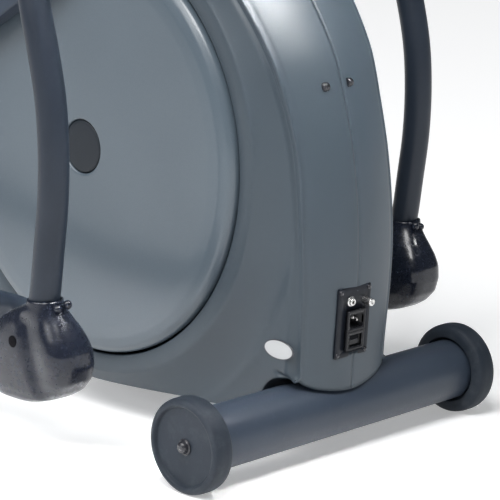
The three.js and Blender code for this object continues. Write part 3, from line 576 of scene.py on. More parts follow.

# ---------------------------------------------------------------- boots
# A glossy black moulded hood over each swing arm's lower pivot. Its collar has two rounded lugs in
# front, its outer side is flat behind with a screw hole, and its front bulges. The hole is not cut: its
# dark inside is painted shade on a thin disc.
boot_black = Finish(
    "boot_gloss_black", Metallic=0.0, Specular_IOR_Level=0.4, Coat_Weight=0.22, Coat_Roughness=0.14
)
boot_dust = boot_black.spread(boot_black.noise(55, 6, 0.72), 0.5, 0.8, 0, 1)
boot_black.toned(boot_dust * 0.25, (0.0085, 0.0112, 0.0205), (0.026, 0.031, 0.042))
boot_black.feed("Roughness", boot_black.between(boot_black.noise(230, 3), 0.22, 0.29) + boot_dust * 0.06)
boot_black.grain(boot_black.noise(32, 2), 0.00025)

# Painted shade: a near-black, barely shiny colour that stands for the dark inside of the boot's screw hole.
hole_shade_paint = Finish("shadowed_hole", Metallic=0.0, Specular_IOR_Level=0.08)
hole_shade_paint.toned(hole_shade_paint.noise(600, 3), (0.002, 0.002, 0.003), (0.006, 0.006, 0.008))
hole_shade_paint.feed("Roughness", hole_shade_paint.between(hole_shade_paint.noise(300, 3), 0.7, 0.9))

BOOT_HEIGHTS = [92, 94, 99, 108, 122, 140, 158, 172, 186, 197, 205, 211, 216]
BOOT_REAR = [-222, -234, -243, -249, -252, -252, -250, -243, -230, -212, -192, -181.5, -180]
BOOT_NOSE = [-172, -158, -141, -125, -112, -106, -107, -112, -120, -128, -134, -137.5, -138.5]
BOOT_INNER = [282, 277, 273, 270, 269, 269, 270, 273, 277, 283, 288, 291.5, 292]
BOOT_OUTER = [330, 335, 338.5, 341, 342, 342, 342, 341, 339.5, 337.5, 335.5, 334.5, 334]


def boot_shell(sign):
    """Rings up the boot, rounded boxes below that turn to ovals at the collar.

    A point at angle a lies at the half sizes times cos and sin of a, each to the power 2 / n, where n
    falls from 3.55 to 2.05 with height. A shallow hollow runs up the outer side ahead of the nose line.
    """
    heights = np.concatenate([[92.0], 92 + 124 * np.linspace(0, 1, 84) ** 1.35])
    edges = (BOOT_REAR, BOOT_NOSE, BOOT_INNER, BOOT_OUTER)
    rear, nose, inner, outer = (flowing_values(np.interp(heights, BOOT_HEIGHTS, each)) for each in edges)
    a = np.linspace(0, 2 * np.pi, 160, endpoint=False)
    sharp = (2 / (2.05 + 1.5 * (1 - smooth(heights, 150, 205))))[:, None]
    cx, cy = (rear + nose)[:, None] / 2, (inner + outer)[:, None] / 2
    hx, hy = (nose - rear)[:, None] / 2, (outer - inner)[:, None] / 2
    x = cx + hx * np.sign(np.cos(a)) * np.abs(np.cos(a)) ** sharp
    y = cy + hy * np.sign(np.sin(a)) * np.abs(np.sin(a)) ** sharp
    nose_line = (-176 + 0.34 * (165 - heights))[:, None]
    hollow = 5.5 * smooth(x, nose_line, nose_line + 14) * (1 - smooth(x, nose_line + 14, nose_line + 52))
    band = (1 - smooth(heights, 185, 205)) * smooth(heights, 92, 112)
    y = y - hollow * smooth(y, cy, cy + hy) * band[:, None]
    z = np.broadcast_to(heights[:, None], x.shape)
    tuck = np.where(np.arange(len(heights)) == 0, 0.9, 1.0)[:, None]
    x, y = cx + (x - cx) * tuck, cy + (y - cy) * tuck
    grid = np.stack([x / 1000 + FRONT_X, y / 1000, z / 1000], -1)
    floor = np.repeat(grid[:1].mean(axis=1, keepdims=True), grid.shape[1], axis=1)
    top = grid[-1:]
    middle = top.mean(axis=1, keepdims=True)
    collar = middle + (top - middle) * 0.90
    return np.concatenate([floor, grid, collar]) * (1, sign, 1)


def flowing_values(values):
    """The same values, each averaged with its neighbours, with the ends kept."""
    weights = np.array([1, 2, 3, 2, 1]) / 9
    soft = np.convolve(np.pad(values, 2, mode="edge"), weights, mode="valid")
    soft[[0, 1, -1]] = np.asarray(values)[[0, 1, -1]]
    return soft


def ball(centre, sizes, sides=32):
    """An ellipsoid about a centre: sizes times (cos b cos a, cos b sin a, sin b)."""
    b = np.linspace(-np.pi / 2, np.pi / 2, sides // 2 + 1)[:, None]
    a = np.linspace(0, 2 * np.pi, sides, endpoint=False)
    shape = np.stack([np.cos(b) * np.cos(a), np.cos(b) * np.sin(a), np.sin(b) * np.ones_like(a)], -1)
    return np.asarray(centre) + shape * sizes


for side, sign in SIDES:
    hood = surface(
        f"{side}_boot_hood", boot_shell(sign), boot_black, f"{side}_swing_bar",
        [f"{side}_boot"],
    )
    lumps = []
    spots = ((-131.5, 303, 212, (5.2, 5.2, 5.6)), (-134.0, 316, 209, (5.6, 5.0, 4.8)))
    for k, (x, y, z, sizes) in enumerate(spots):
        centre = (x / 1000 + FRONT_X, sign * y / 1000, z / 1000)
        lumps.append(
            surface(
                f"{side}_lug_{k}", ball(centre, np.array(sizes) / 1000), boot_black,
                f"{side}_swing_bar",
            )
        )
    joined(f"{side}_boot_hood", [hood, *lumps])
    # The screw hole is a thin near-black disc on the outer side, painted shade in place of the hole's depth.
    hole = [(0, 0.3425), (0.0062, 0.3425), (0.0070, 0.3420), (0.0072, 0.3410), (0, 0.3405)]
    surface(
        f"{side}_boot_hole_shade", turned(eased(hole, 0.0003) * (1, sign), FRONT_X - 0.186, BOOT_PIVOT[1], 32),
        hole_shade_paint, f"{side}_swing_bar",
    )

# ---------------------------------------------------------------- casing fittings
# A plain oval badge is stuck on the foot's side, and two black round-head screws go into the casing's
# front, one on each side of its seam.
badge_film = Finish("badge_film", Metallic=0.0, Specular_IOR_Level=0.5, Coat_Weight=0.4, Coat_Roughness=0.1)
badge_places = badge_film.places((1 / 0.0247, 0, 1 / 0.0119), (FRONT_X - 0.005, -0.085, 0.141))
badge_reach = badge_film.node("ShaderNodeVectorMath", {"operation": "LENGTH"}, {0: badge_places}, out=1)
badge_edge = badge_film.spread(badge_reach, 0.9, 0.93, 0, 1)
badge_speck = badge_film.noise(1800, 3)
badge_plain = badge_film.mixed(badge_speck, (0.46, 0.47, 0.48), (0.55, 0.56, 0.57))
badge_film.toned(badge_edge, badge_plain, (0.05, 0.05, 0.06))
badge_film.feed("Roughness", badge_film.between(badge_speck, 0.28, 0.4))
badge_film.grain(badge_speck, 0.00002)


def oval(centre, half_x, half_z, rows):
    """An oval turned about Y: at each (share, y) row the points lie at share times the half sizes."""
    a = np.linspace(0, 2 * np.pi, 96, endpoint=False)
    rows = np.asarray(rows, float)
    x = centre[0] + rows[:, :1] * half_x * np.cos(a)
    z = centre[1] + rows[:, :1] * half_z * np.sin(a)
    return np.stack([x, np.broadcast_to(rows[:, 1:], x.shape), z], -1)


badge_rows = [(0, -0.0858), (0.92, -0.0858), (0.97, -0.0857), (1, -0.0854), (1, -0.0845), (0, -0.0845)]
surface(
    "badge", oval((FRONT_X - 0.005, 0.141), 0.0247, 0.0119, badge_rows), badge_film, "frame",
    ["badge_plate"],
)


def studded(place, way, profile, sides=40):
    """A (radius, height) profile turned round the line through a place along a direction."""
    way = np.asarray(way, float) / np.linalg.norm(way)
    side = np.cross(way, (0, 1.0, 0)) if abs(way[1]) < 0.9 else np.cross(way, (1.0, 0, 0))
    side /= np.linalg.norm(side)
    up = np.cross(way, side)
    a = np.linspace(0, 2 * np.pi, sides, endpoint=False)
    r, h = np.asarray(profile, float).T[:, :, None]
    return (
        np.asarray(place)
        + r[..., None] * (np.cos(a)[None, :, None] * side + np.sin(a)[None, :, None] * up)
        + h[..., None] * way
    )


ROUND_HEAD = eased(
    [(0, -0.004), (0.0056, -0.004), (0.0056, 0.0014), (0.0046, 0.0034), (0.0024, 0.0045), (0, 0.0046)],
    0.0008,
)
for name, y, z in (("right_casing_screw", -0.0273, 0.4507), ("left_casing_screw", 0.0127, 0.4525)):
    line = casing_line(abs(y))[: len(FRONT_LINE)]
    near = np.argmin(np.abs(line[:, 1] - z))
    along = line[near + 1] - line[near - 1]
    out = (along[1], 2 * FRONT_CROWN * y, -along[0])
    surface(name, studded((line[near, 0], y, z), out, ROUND_HEAD), bolt_black, "frame")

# ---------------------------------------------------------------- casing neck
# The two halves rise into a slim neck round the mast. The neck is a sleeve of the same plastic, with a
# folded-in upper rim.
MAST_FOOT, MAST_LEAN = FRONT_X - 0.165, -0.0417


def mast_x(z):
    return MAST_FOOT + MAST_LEAN * (z - 0.090)


def rounded(half_x, half_y, corner, count=12):
    """A rectangle with round corners, as points of (x, y) run the left way round."""
    t = np.linspace(0, np.pi / 2, count)
    arcs = []
    for sx, sy, k in ((1, 1, 0), (-1, 1, np.pi / 2), (-1, -1, np.pi), (1, -1, 1.5 * np.pi)):
        x = sx * (half_x - corner) + corner * np.cos(t + k)
        y = sy * (half_y - corner) + corner * np.sin(t + k)
        arcs.append(np.stack([x, y], -1))
    return np.concatenate(arcs)


def stacked(levels):
    """Rounded rectangles joined up in order: each level is (x, z, half_x, half_y, corner)."""
    rings = []
    for x, z, half_x, half_y, corner in levels:
        flat = rounded(half_x, half_y, corner) + (x, 0)
        rings.append(np.column_stack([flat, np.full(len(flat), z)]))
    return np.array(rings)


neck_levels = []
for t in np.linspace(0, 1, 24):
    z = 0.592 + 0.106 * t
    slim = (1 - t) ** 2.2
    half_x, half_y = 0.040 + 0.050 * slim, 0.036 + 0.052 * slim
    neck_levels.append((mast_x(z) + 0.004 * t - 0.012 * slim, z, half_x, half_y, 0.020 + 0.018 * slim))
top = neck_levels[-1]
for inset, down in ((0.0008, 0.0012), (0.0030, 0.0016), (0.0038, 0.0006), (0.0038, -0.010)):
    neck_levels.append((top[0], 0.698 + down, top[2] - inset, top[3] - inset, top[4] - inset))
surface("casing_neck", stacked(neck_levels), casing_grey, "frame")

# ---------------------------------------------------------------- power panel
# A black sheet-metal plate screwed over an opening low in the casing's front. It carries an inlet with
# a rocker switch moulded below it, a small jack and a threaded aerial socket.
PANEL_AT = np.array([FRONT_X + 0.0397, -0.004, 0.1691])
PANEL_TILT = 0.0803

panel_black = Finish("panel_satin_black", Metallic=0.0, Specular_IOR_Level=0.2)
panel_speck = panel_black.noise(1200, 3)
panel_dust = panel_black.spread(panel_black.noise(140, 5, 0.7), 0.52, 0.8, 0, 1)
panel_black.toned(panel_dust * 0.4, (0.007, 0.009, 0.014), (0.025, 0.028, 0.035))
panel_black.feed("Roughness", panel_black.between(panel_speck, 0.3, 0.42))
panel_black.grain(panel_speck, 0.00006)
socket_black = speckled(
    "socket_plastic", 1500, 2, (0.009, 0.009, 0.011), (0.016, 0.017, 0.02), 0.2, 0.3, 0.00003,
    Metallic=0.0, Specular_IOR_Level=0.22,
)
plated = Finish("nickel_plate", Specular_IOR_Level=0.5)
plated_swirl = plated.noise(700, 4, 0.6, plated.places((1, 6, 1)))
plated.toned(plated_swirl, (0.62, 0.62, 0.62), (0.80, 0.79, 0.77))
plated.feed("Metallic", plated.spread(plated_swirl, 0, 0.1, 0.95, 1))
plated.feed("Roughness", plated.between(plated_swirl, 0.18, 0.34))
plated.grain(plated_swirl, 0.00002)


def pitched(points, angle):
    """Points turned about Y by an angle: (x cos + z sin, y, z cos - x sin)."""
    c, s = np.cos(angle), np.sin(angle)
    x, y, z = np.moveaxis(np.asarray(points, float), -1, 0)
    return np.stack([x * c + z * s, y, z * c - x * s], -1)


def on_panel(points):
    """Points of (out, across, up) on the panel, carried to the machine."""
    return pitched(points, PANEL_TILT) + PANEL_AT


def lifted(outline, height):
    """An outline of (across, up) points at one height, as (out, across, up)."""
    return np.column_stack([np.full(len(outline), height), outline])


def plate(half_y, half_z, corner, low, high, edge, hole, centre=(0, 0)):
    """A frame lying on the panel: rings up its eased outer edge, over its face and down its opening.

    hole gives the opening's half sizes, its corner and its (across, up) centre.
    """
    outline = rounded(half_y, half_z, corner)
    rings = [(outline, low), (outline, high - edge)]
    rings.append((outline * (1 - 0.3 * edge / half_z), high - 0.3 * edge))
    rings.append((rounded(half_y - edge, half_z - edge, max(corner - edge, 1e-4)), high))
    inner = rounded(*hole[:3]) + hole[3]
    rows = [lifted(flat + centre, height) for flat, height in rings]
    rows += [lifted(inner, height) for height in (high, high - 0.4 * edge, low)]
    return on_panel(np.array([*rows, rows[0]]))


MODULE = (0.0025, -0.0100)
INLET_HOLE = (0.0120, 0.0085, 0.0042, (0.0025, 0.0014))
SWITCH_HOLE = (0.0105, 0.0075, 0.0006, (0.0025, -0.0234))
WELL_WALL = 0.0008
ROCKER_REST = -0.14


def barred(half_y, half_z, high, holes):
    """A frame round two openings: two frames, one over the other, that meet on a bar between them."""
    split = -0.0115
    parts = []
    for (top_z, low_z), hole in zip(((0.0149, split), (split, -0.0349)), holes):
        mid, half = (top_z + low_z) / 2, (top_z - low_z) / 2
        parts.append(plate(half_y, half, 0.0006, 0.0003, high, 0.0006, hole, (MODULE[0], mid)))
    return parts


module_hole = (0.0134, 0.0227, 0.0008, MODULE)
surface(
    "panel_plate", plate(0.0282, 0.04375, 0.0022, -0.003, 0, 0.0008, module_hole), panel_black,
    "frame", ["power_panel"],
)
frames = [
    surface(f"socket_frame_{k}", grid, socket_black, "frame")
    for k, grid in enumerate(barred(0.0155, 0.0249, 0.0035, (INLET_HOLE, SWITCH_HOLE)))
]
for name, hole, depth in (("inlet_well", INLET_HOLE, -0.018), ("switch_well", SWITCH_HOLE, -0.010)):
    mouth = rounded(*hole[:3]) + hole[3]
    outer = rounded(hole[0] + WELL_WALL, hole[1] + WELL_WALL, hole[2] + WELL_WALL / 2) + hole[3]
    inside = [lifted(mouth, depth), lifted(mouth, 0.0030)]
    outside = [lifted(outer, 0.0030), lifted(outer, depth - WELL_WALL)]
    well = on_panel(capped(np.array(inside + outside)))
    frames.append(surface(name, well, socket_black, "frame"))
for k, (y, z) in enumerate(((-0.007, 0.0), (0, 0.004), (0.007, 0.0))):
    blade = rounded(0.0009, 0.0022, 0.0004) + (MODULE[0] + y, z)
    tip = np.full_like(blade, (MODULE[0] + y, z))
    rows = [lifted(tip, -0.0175), lifted(blade, -0.0175), lifted(blade, -0.0022), lifted(tip, -0.0015)]
    surface(f"inlet_pin_{k}", on_panel(np.array(rows)), plated, "frame")
joined("power_socket", frames)
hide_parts("power_inlet")


def rocker_cap():
    """The rocker's face stands out 2.6 mm, less 1.5 mm times |up|, and is turned by its tilt at rest."""
    up = np.linspace(-1, 1, 25)[:, None]
    across = np.linspace(-1, 1, 17)[None, :]
    edge = np.clip((np.maximum(np.abs(up), np.abs(across)) - 0.9) / 0.1, 0, 1)
    out = 0.0026 - 0.0015 * np.abs(up) - 0.0010 * edge**2
    out = np.where((np.abs(up) > 0.999) | (np.abs(across) > 0.999), -0.0060, out)
    grid = np.stack(np.broadcast_arrays(out, across * 0.0092, up * 0.0066), -1)
    return on_panel(pitched(grid, ROCKER_REST) + (-0.0012, *SWITCH_HOLE[3]))


surface(
    "switch_rocker", rocker_cap(), socket_black, "rocker", ["power_switch"], round_v=False
)
jack = [(0, -0.004), (0.0062, -0.004), (0.0062, 0.0012), (0.0052, 0.0020), (0.0046, 0.0020)]
jack += [(0.0046, 0.0042), (0.0038, 0.0048), (0.0022, 0.0048), (0.0022, -0.003), (0, -0.003)]
jack_out = on_panel([(0, -0.007, 0.0262), (1, -0.007, 0.0262)])
surface(
    "panel_jack", studded(jack_out[0], jack_out[1] - jack_out[0], eased(jack, 0.0004)), plated,
    "frame",
)
thread = [(0, -0.006), (0.0047, -0.006), (0.0047, 0.0014), (0.0046, 0.0022)]
thread += [(0.0045 + 0.0004 * (k % 2), 0.0026 + 0.00055 * k) for k in range(18)]
thread += [(0.0046, 0.0128), (0.0042, 0.0134), (0.0012, 0.0134), (0.0012, 0.0110), (0, 0.0110)]
barrel_out = on_panel([(0, 0.017, 0.024), (1, 0.017, 0.024)])
surface(
    "aerial_socket", studded(barrel_out[0], barrel_out[1] - barrel_out[0], thread, 48), plated,
    "frame", ["antenna_connector"],
)
corner_screws = []
for k, (y, z) in enumerate(((-1, -1), (-1, 1), (1, -1), (1, 1))):
    spot = on_panel([(0, y * 0.0242, z * 0.0392), (1, y * 0.0242, z * 0.0392)])
    corner_screws.append(
        surface(
            f"panel_screw_{k}", studded(spot[0], spot[1] - spot[0], ROUND_HEAD * (0.55, 0.5)), bolt_black,
            "frame",
        )
    )
joined("panel_screws", corner_screws)

# ---------------------------------------------------------------- mast and swing axle
# A rectangular steel tube that leans back a little from a weld bead on the main beam. The pieces of the
# drive inside the casing keep their plain shapes and take their finishes here.
mast_levels = [(mast_x(z), z, 0.030 + grow, 0.025 + grow, 0.008 + grow) for z, grow in (
    (0.0905, -0.002), (0.0906, 0.0045), (0.0930, 0.0042), (0.0955, 0.0018), (0.0985, 0.0), (0.30, 0),
    (0.80, 0), (1.20, 0), (1.288, 0), (1.2895, -0.0015), (1.2897, -0.004),
)]
surface("mast_tube", capped(stacked(mast_levels)), FRAME_COAT, "frame", ["mast"])
idler_stub = [(0, 0.0245), (0.011, 0.0245), (0.012, 0.0255), (0.012, 0.0440)]
idler_stub += [(0.0092, 0.0445), (0.0092, 0.0470), (0, 0.0470)]
surface(
    "idler_stub", turned(eased(idler_stub, 0.0008), FRONT_X - 0.150, 0.334, 40), FRAME_COAT, "frame",
)

ground_steel = Finish("ground_steel", Specular_IOR_Level=0.5)
ground_lines = ground_steel.noise(900, 5, 0.65, ground_steel.places((1, 0.08, 1)))
ground_oil = ground_steel.spread(ground_steel.noise(60, 4), 0.5, 0.8, 0, 1)
ground_steel.toned(ground_lines, (0.42, 0.43, 0.44), (0.60, 0.60, 0.60))
ground_steel.feed("Metallic", ground_steel.spread(ground_oil, 0, 1, 1, 0.9))
ground_steel.feed("Roughness", ground_steel.between(ground_lines, 0.2, 0.36) + ground_oil * 0.1)
ground_steel.grain(ground_lines, 0.00002)
cast_iron = speckled(
    "cast_iron", 330, 6, (0.055, 0.055, 0.058), (0.14, 0.135, 0.13), 0.42, 0.66, 0.0002, 0.7,
    Metallic=0.6, Specular_IOR_Level=0.5,
)
belt_rubber = speckled(
    "belt_rubber", 500, 3, (0.012, 0.012, 0.013), (0.030, 0.030, 0.031), 0.6, 0.8, 0.0002,
    stretch=(1, 4, 1), Metallic=0.0, Specular_IOR_Level=0.3,
)
nylon = speckled(
    "filled_nylon", 800, 4, (0.016, 0.017, 0.019), (0.036, 0.037, 0.040), 0.42, 0.6, 0.0001,
    Metallic=0.0, Specular_IOR_Level=0.45,
)
board_green = Finish(
    "board_resin", Metallic=0.0, Specular_IOR_Level=0.5, Coat_Weight=0.3, Coat_Roughness=0.1
)
board_places = board_green.places((1, 0.2, 1))
board_cells = board_green.node("ShaderNodeTexVoronoi", {}, {"Vector": board_places, "Scale": 170.0})
board_track = board_green.spread(board_cells, 0.28, 0.32, 0, 1)
board_green.toned(board_track, (0.010, 0.075, 0.030), (0.020, 0.130, 0.050))
board_green.feed("Roughness", board_green.spread(board_track, 0, 1, 0.3, 0.42))
board_green.grain(board_track, 0.0001)
for finish, names in (
    (ground_steel, ["crank_axle", "swing_axle", "idler_pulley"]),
    (ground_steel, ["right_crank_bearing", "left_crank_bearing"]),
    (cast_iron, ["flywheel", "brake_magnet"]),
    (FRAME_COAT, ["crank_support", "flywheel_bracket", "right_crank_arm", "left_crank_arm"]),
    (belt_rubber, ["drive_belt"]),
    (nylon, ["drive_pulley"]),
    (board_green, ["control_board"]),
):
    for name in names:
        held = bpy.data.objects[name].data.materials
        held.clear()
        held.append(finish.material)

# ---------------------------------------------------------------- base frame
# Welded steel tube, powder coated: one long beam, a cross piece that carries the rails' front ends,
# and a round rear stabilizer with plastic plugs in its ends.
REAR_X = FRONT_X - 1.560
beam_end = REAR_X + 0.0354


def bar(start, end, half_across, half_up, corner, ease=0.0015):
    """A square tube from start to end: rounded sections with eased ends."""
    start, end = np.asarray(start, float), np.asarray(end, float)
    way = (end - start) / np.linalg.norm(end - start)
    path = np.array([start, start + way * ease, end - way * ease, end])
    return swept(path, rounded(half_across, half_up, corner), [0.965, 1, 1, 0.965])


beam = surface(
    "beam_tube", bar((beam_end, 0, 0.060), (FRONT_X - 0.0385, 0, 0.060), 0.030, 0.030, 0.007), FRAME_COAT,
    "frame", ["main_beam"],
)
cross_x = FRONT_X - 0.900 + 0.0203
crossing = surface(
    "beam_cross", bar((cross_x, -0.195, 0.060), (cross_x, 0.195, 0.060), 0.0195, 0.020, 0.005), FRAME_COAT,
    "frame",
)
joined("beam_tube", [beam, crossing])
for side, sign in SIDES:
    surface(
        f"{side}_rail_tube",
        bar((beam_end, sign * 0.175, 0.060), (FRONT_X - 0.900, sign * 0.175, 0.060), 0.020, 0.020, 0.004),
        ground_steel, "frame", [f"{side}_rail"],
    )
rear = [(0, -0.2360), (0.0350, -0.2360), (0.0350, 0.2360), (0, 0.2360)]
surface(
    "rear_tube", turned(eased(rear, 0.0015), REAR_X, FLOOR_TO_AXIS, 96), FRAME_COAT, "frame",
    ["rear_stabilizer"],
)
for side, sign in SIDES:
    plug = [(0, 0.2355), (0.0350, 0.2355), (0.0350, 0.2375), (0.0325, 0.2394), (0.0200, 0.24), (0, 0.24)]
    surface(
        f"{side}_tube_plug", turned(eased(plug, 0.0012) * (1, sign), REAR_X, FLOOR_TO_AXIS, 96), nylon,
        "frame",
    )
    foot = [(0, 0), (0.0240, 0), (0.0268, 0.0012), (0.0279, 0.0040), (0.0262, 0.0085), (0.0220, 0.0138)]
    foot += [(0.0135, 0.0172), (0.0120, 0.0190), (0.0120, 0.0219), (0, 0.0219)]
    surface(
        f"{side}_foot_pad", studded((REAR_X, sign * 0.205, 0), (0, 0, 1), eased(foot, 0.001), 72),
        wheel_rubber, "frame", [f"{side}_rear_foot"],
    )

# ---------------------------------------------------------------- roller arms
# A rectangular steel bar on each side from the crank pin back to a roller on the rail, with bosses bored
# for the crank pin, the pedal hinge and the roller's axle. The roller is moulded from urethane.
ARM_LENGTH, PEDAL_AT = 0.960, 0.35 * 0.960
AXLE_Z = 0.1153
ROLLER_X = {"right": -0.429194, "left": -0.476545}
ARM_TILT = {"right": 0.49557, "left": 0.012176}
urethane = Finish("urethane_tyre", Metallic=0.0, Specular_IOR_Level=0.5)
tyre_scuff = urethane.spread(urethane.noise(120, 6, 0.7), 0.45, 0.75, 0, 1)
urethane.toned(tyre_scuff * 0.6, (0.028, 0.029, 0.033), (0.085, 0.085, 0.086))
urethane.feed("Roughness", urethane.between(urethane.noise(700, 3), 0.32, 0.46) + tyre_scuff * 0.15)
urethane.grain(tyre_scuff, 0.00008)

for side, sign in SIDES:
    x0, tilt = ROLLER_X[side], ARM_TILT[side]
    way = np.array([np.cos(tilt), 0, np.sin(tilt)])
    start = np.array([x0, sign * 0.140, AXLE_Z])
    parts = [
        surface(
            f"{side}_arm_bar", bar(start, start + way * ARM_LENGTH, 0.0148, 0.0198, 0.003), FRAME_COAT,
            f"{side}_lever", [f"{side}_roller_arm"],
        )
    ]
    for k, (along, bore) in enumerate(((0, 0.0103), (PEDAL_AT, 0.0103), (ARM_LENGTH, 0.006))):
        spot = start + way * along
        boss = [(bore, 0.1252), (0.0260, 0.1252), (0.0260, 0.1548), (bore, 0.1548), (bore, 0.1252)]
        parts.append(
            surface(
                f"{side}_boss_{k}", turned(eased(boss, 0.0018) * (1, sign), spot[0], spot[2], 64),
                FRAME_COAT, f"{side}_lever",
            )
        )
    joined(f"{side}_arm_bar", parts)
    tyre = [
        (0.0103, 0.1604), (0.0150, 0.1604), (0.0165, 0.1620), (0.0270, 0.1620), (0.0285, 0.1604),
        (0.0325, 0.1604), (0.0346, 0.1625), (0.0350, 0.1660), (0.0350, 0.1840), (0.0346, 0.1875),
        (0.0325, 0.1896), (0.0285, 0.1896), (0.0270, 0.1880), (0.0165, 0.1880), (0.0150, 0.1896),
        (0.0103, 0.1896), (0.0103, 0.1604),
    ]
    surface(
        f"{side}_roller_tyre", turned(eased(tyre, 0.0006) * (1, sign), x0, AXLE_Z, 96), urethane,
        f"{side}_rolling_wheel", [f"{side}_roller"],
    )
    shaft = [
        (0, 0.1206), (0.0140, 0.1206), (0.0150, 0.1216), (0.0150, 0.1240), (0.0098, 0.1240),
        (0.0098, 0.1922), (0.0150, 0.1922), (0.0150, 0.1948), (0.0138, 0.1960), (0.0060, 0.1960),
        (0.0050, 0.1948), (0, 0.1948),
    ]
    surface(
        f"{side}_roller_shaft", turned(eased(shaft, 0.0006) * (1, sign), x0, AXLE_Z, 64), ground_steel,
        f"{side}_carriage", [f"{side}_roller_axle"],
    )

# ---------------------------------------------------------------- foot links
# A bent flat-oval steel tube from the pedal hinge forward, joggled out to the pivot inside the boot. A
# bracket welded on its top takes the pedal, and a shouldered pin reaches in to the roller arm.
HINGE = {"right": (-0.133615, 0.275079), "left": (-0.14057, 0.119391)}
LINK_TURN = {"right": 0.0, "left": -0.2136}
EYE = np.array([0.722465, -0.110079])
BEND_X = EYE[0] - 0.250


def on_link(side, points):
    """Points of (x, y, z) from the pedal hinge, as the right link lies, turned and moved to this side's."""
    hinge_x, hinge_z = HINGE[side]
    return pitched(points, LINK_TURN[side]) + (hinge_x, 0, hinge_z)


for side, sign in SIDES:
    run = eased([(0, 0), (BEND_X, EYE[1]), (EYE[0], EYE[1])], 0.09, 14)
    run = flowing(run, 90)
    reach_in = 0.255 + 0.028 * smooth(run[:, 0], EYE[0] - 0.105, EYE[0] - 0.035)
    path = np.stack([run[:, 0], sign * reach_in, run[:, 1]], -1)
    body = f"{side}_foot"
    parts = [
        surface(
            f"{side}_link_tube", swept(on_link(side, path), rounded(0.0149, 0.0219, 0.0130, 14)), SWING_COAT,
            body, [f"{side}_foot_link"],
        )
    ]
    rounds = (
        ((0, 0), [(0, 0.2402), (0.0220, 0.2402), (0.0220, 0.2698), (0, 0.2698)]),
        (EYE, [(0, 0.2682), (0.0220, 0.2682), (0.0220, 0.2978), (0, 0.2978)]),
        ((0, 0), [(0, 0.1562), (0.0170, 0.1562), (0.0170, 0.2410), (0, 0.2410)]),
        ((0, 0), [(0, 0.1222), (0.0098, 0.1222), (0.0098, 0.1562), (0, 0.1562)]),
    )
    for k, (spot, profile) in enumerate(rounds):
        spot = on_link(side, [(spot[0], 0, spot[1])])[0]
        parts.append(
            surface(
                f"{side}_link_round_{k}", turned(eased(profile, 0.0014) * (1, sign), spot[0], spot[2], 56),
                FRAME_COAT, body,
            )
        )
    bracket = [(x, sign * 0.255, 0.015) for x in (-0.045, -0.0435, 0.0535, 0.055)]
    section = rounded(0.0149, 0.0245, 0.004, 12)
    parts.append(
        surface(
            f"{side}_bracket", on_link(side, swept(np.array(bracket), section, [0.95, 1, 1, 0.95])),
            FRAME_COAT, body,
        )
    )
    joined(f"{side}_link_tube", parts)

# ---------------------------------------------------------------- pedals
# A big moulded foot plate with a raised rim, higher at the toe and along the inner side, and a ribbed
# rubber mat pressed into its floor.
PEDAL_PITCH = 0.107
pedal_black = Finish("pedal_plastic", Metallic=0.0, Specular_IOR_Level=0.45)
pedal_speck = pedal_black.noise(1000, 3)
pedal_dust = pedal_black.spread(pedal_black.noise(40, 6, 0.72), 0.5, 0.8, 0, 1)
pedal_black.toned(pedal_dust * 0.35, (0.017, 0.018, 0.021), (0.06, 0.062, 0.066))
pedal_black.feed("Roughness", pedal_black.between(pedal_speck, 0.42, 0.56) + pedal_dust * 0.1)
pedal_black.grain(pedal_speck, 0.00012)


def on_pedal(side, points):
    """Points in the pedal's own frame, pitched about the hinge and then carried with the link."""
    return on_link(side, pitched(points, PEDAL_PITCH))


def foot_plate(sign):
    """A tray: rings from the underside's middle, out round the base, up the rim, over it and to the floor.

    The rim's height at a point is 66 mm at the heel, 83 mm along the sides and 95 mm at the toe.
    """
    middle = np.array([-0.020, 0.225])
    half = np.array([0.170, 0.065])

    def ring(inset, z):
        flat = rounded(half[0] - inset, half[1] - inset, 0.030 - min(inset, 0.018), 24) + middle
        level = np.broadcast_to(z, len(flat)) if np.ndim(z) == 0 else z
        return np.column_stack([flat[:, 0], sign * flat[:, 1], level])

    edge = rounded(*half, 0.030, 24) + middle
    x, y = edge.T
    inner_side = 1 - smooth(y, 0.175, 0.215)
    along = smooth(x, -0.178, -0.120) * inner_side + smooth(x, -0.100, -0.020) * (1 - inner_side)
    rim = 0.066 + 0.0172 * along + 0.0120 * smooth(x, 0.095, 0.146)
    base = ring(0, 0.0500)
    centre = np.full_like(base, 0) + (middle[0], sign * middle[1], 0.0500)
    floor = centre + (0, 0, 0.0100)
    rows = [centre, ring(0.020, 0.0500), ring(0.004, 0.0502), ring(0.0008, 0.0515), ring(0, 0.0545)]
    rows += [ring(0, rim - 0.002), ring(0.0009, rim - 0.0005), ring(0.0028, rim), ring(0.0055, rim - 0.0004)]
    rows += [ring(0.0068, rim - 0.0022), ring(0.0074, 0.0625), ring(0.0090, 0.0602), ring(0.020, 0.0600)]
    rows.append(floor)
    return np.array(rows)


def ribbed_mat(sign):
    """A mat of ribs across the foot: 1.4 mm times a rounded square wave of x, sunk at its edges."""
    x = np.linspace(-0.181, 0.141, 330)[:, None]
    y = np.linspace(0.1690, 0.2810, 15)[None, :]
    wave = smooth(np.cos(2 * np.pi * x / 0.0125), -0.35, 0.35)
    rim = np.minimum(np.minimum(x + 0.181, 0.141 - x), np.minimum(y - 0.1690, 0.2810 - y))
    z = 0.0610 + 0.0014 * wave * smooth(rim, 0.004, 0.007) - 0.0020 * (rim < 1e-4)
    grid = np.stack(np.broadcast_arrays(x, sign * y, z), -1)
    base = grid.copy()
    base[..., 2] = 0.0589
    return np.concatenate([grid, base[::-1]])


for side, sign in SIDES:
    surface(
        f"{side}_foot_plate", on_pedal(side, foot_plate(sign)), pedal_black, f"{side}_foot",
        [f"{side}_pedal"],
    )
    surface(
        f"{side}_foot_mat", on_pedal(side, ribbed_mat(sign)), grip_foam, f"{side}_foot",
        round_u=True, round_v=False,
    )

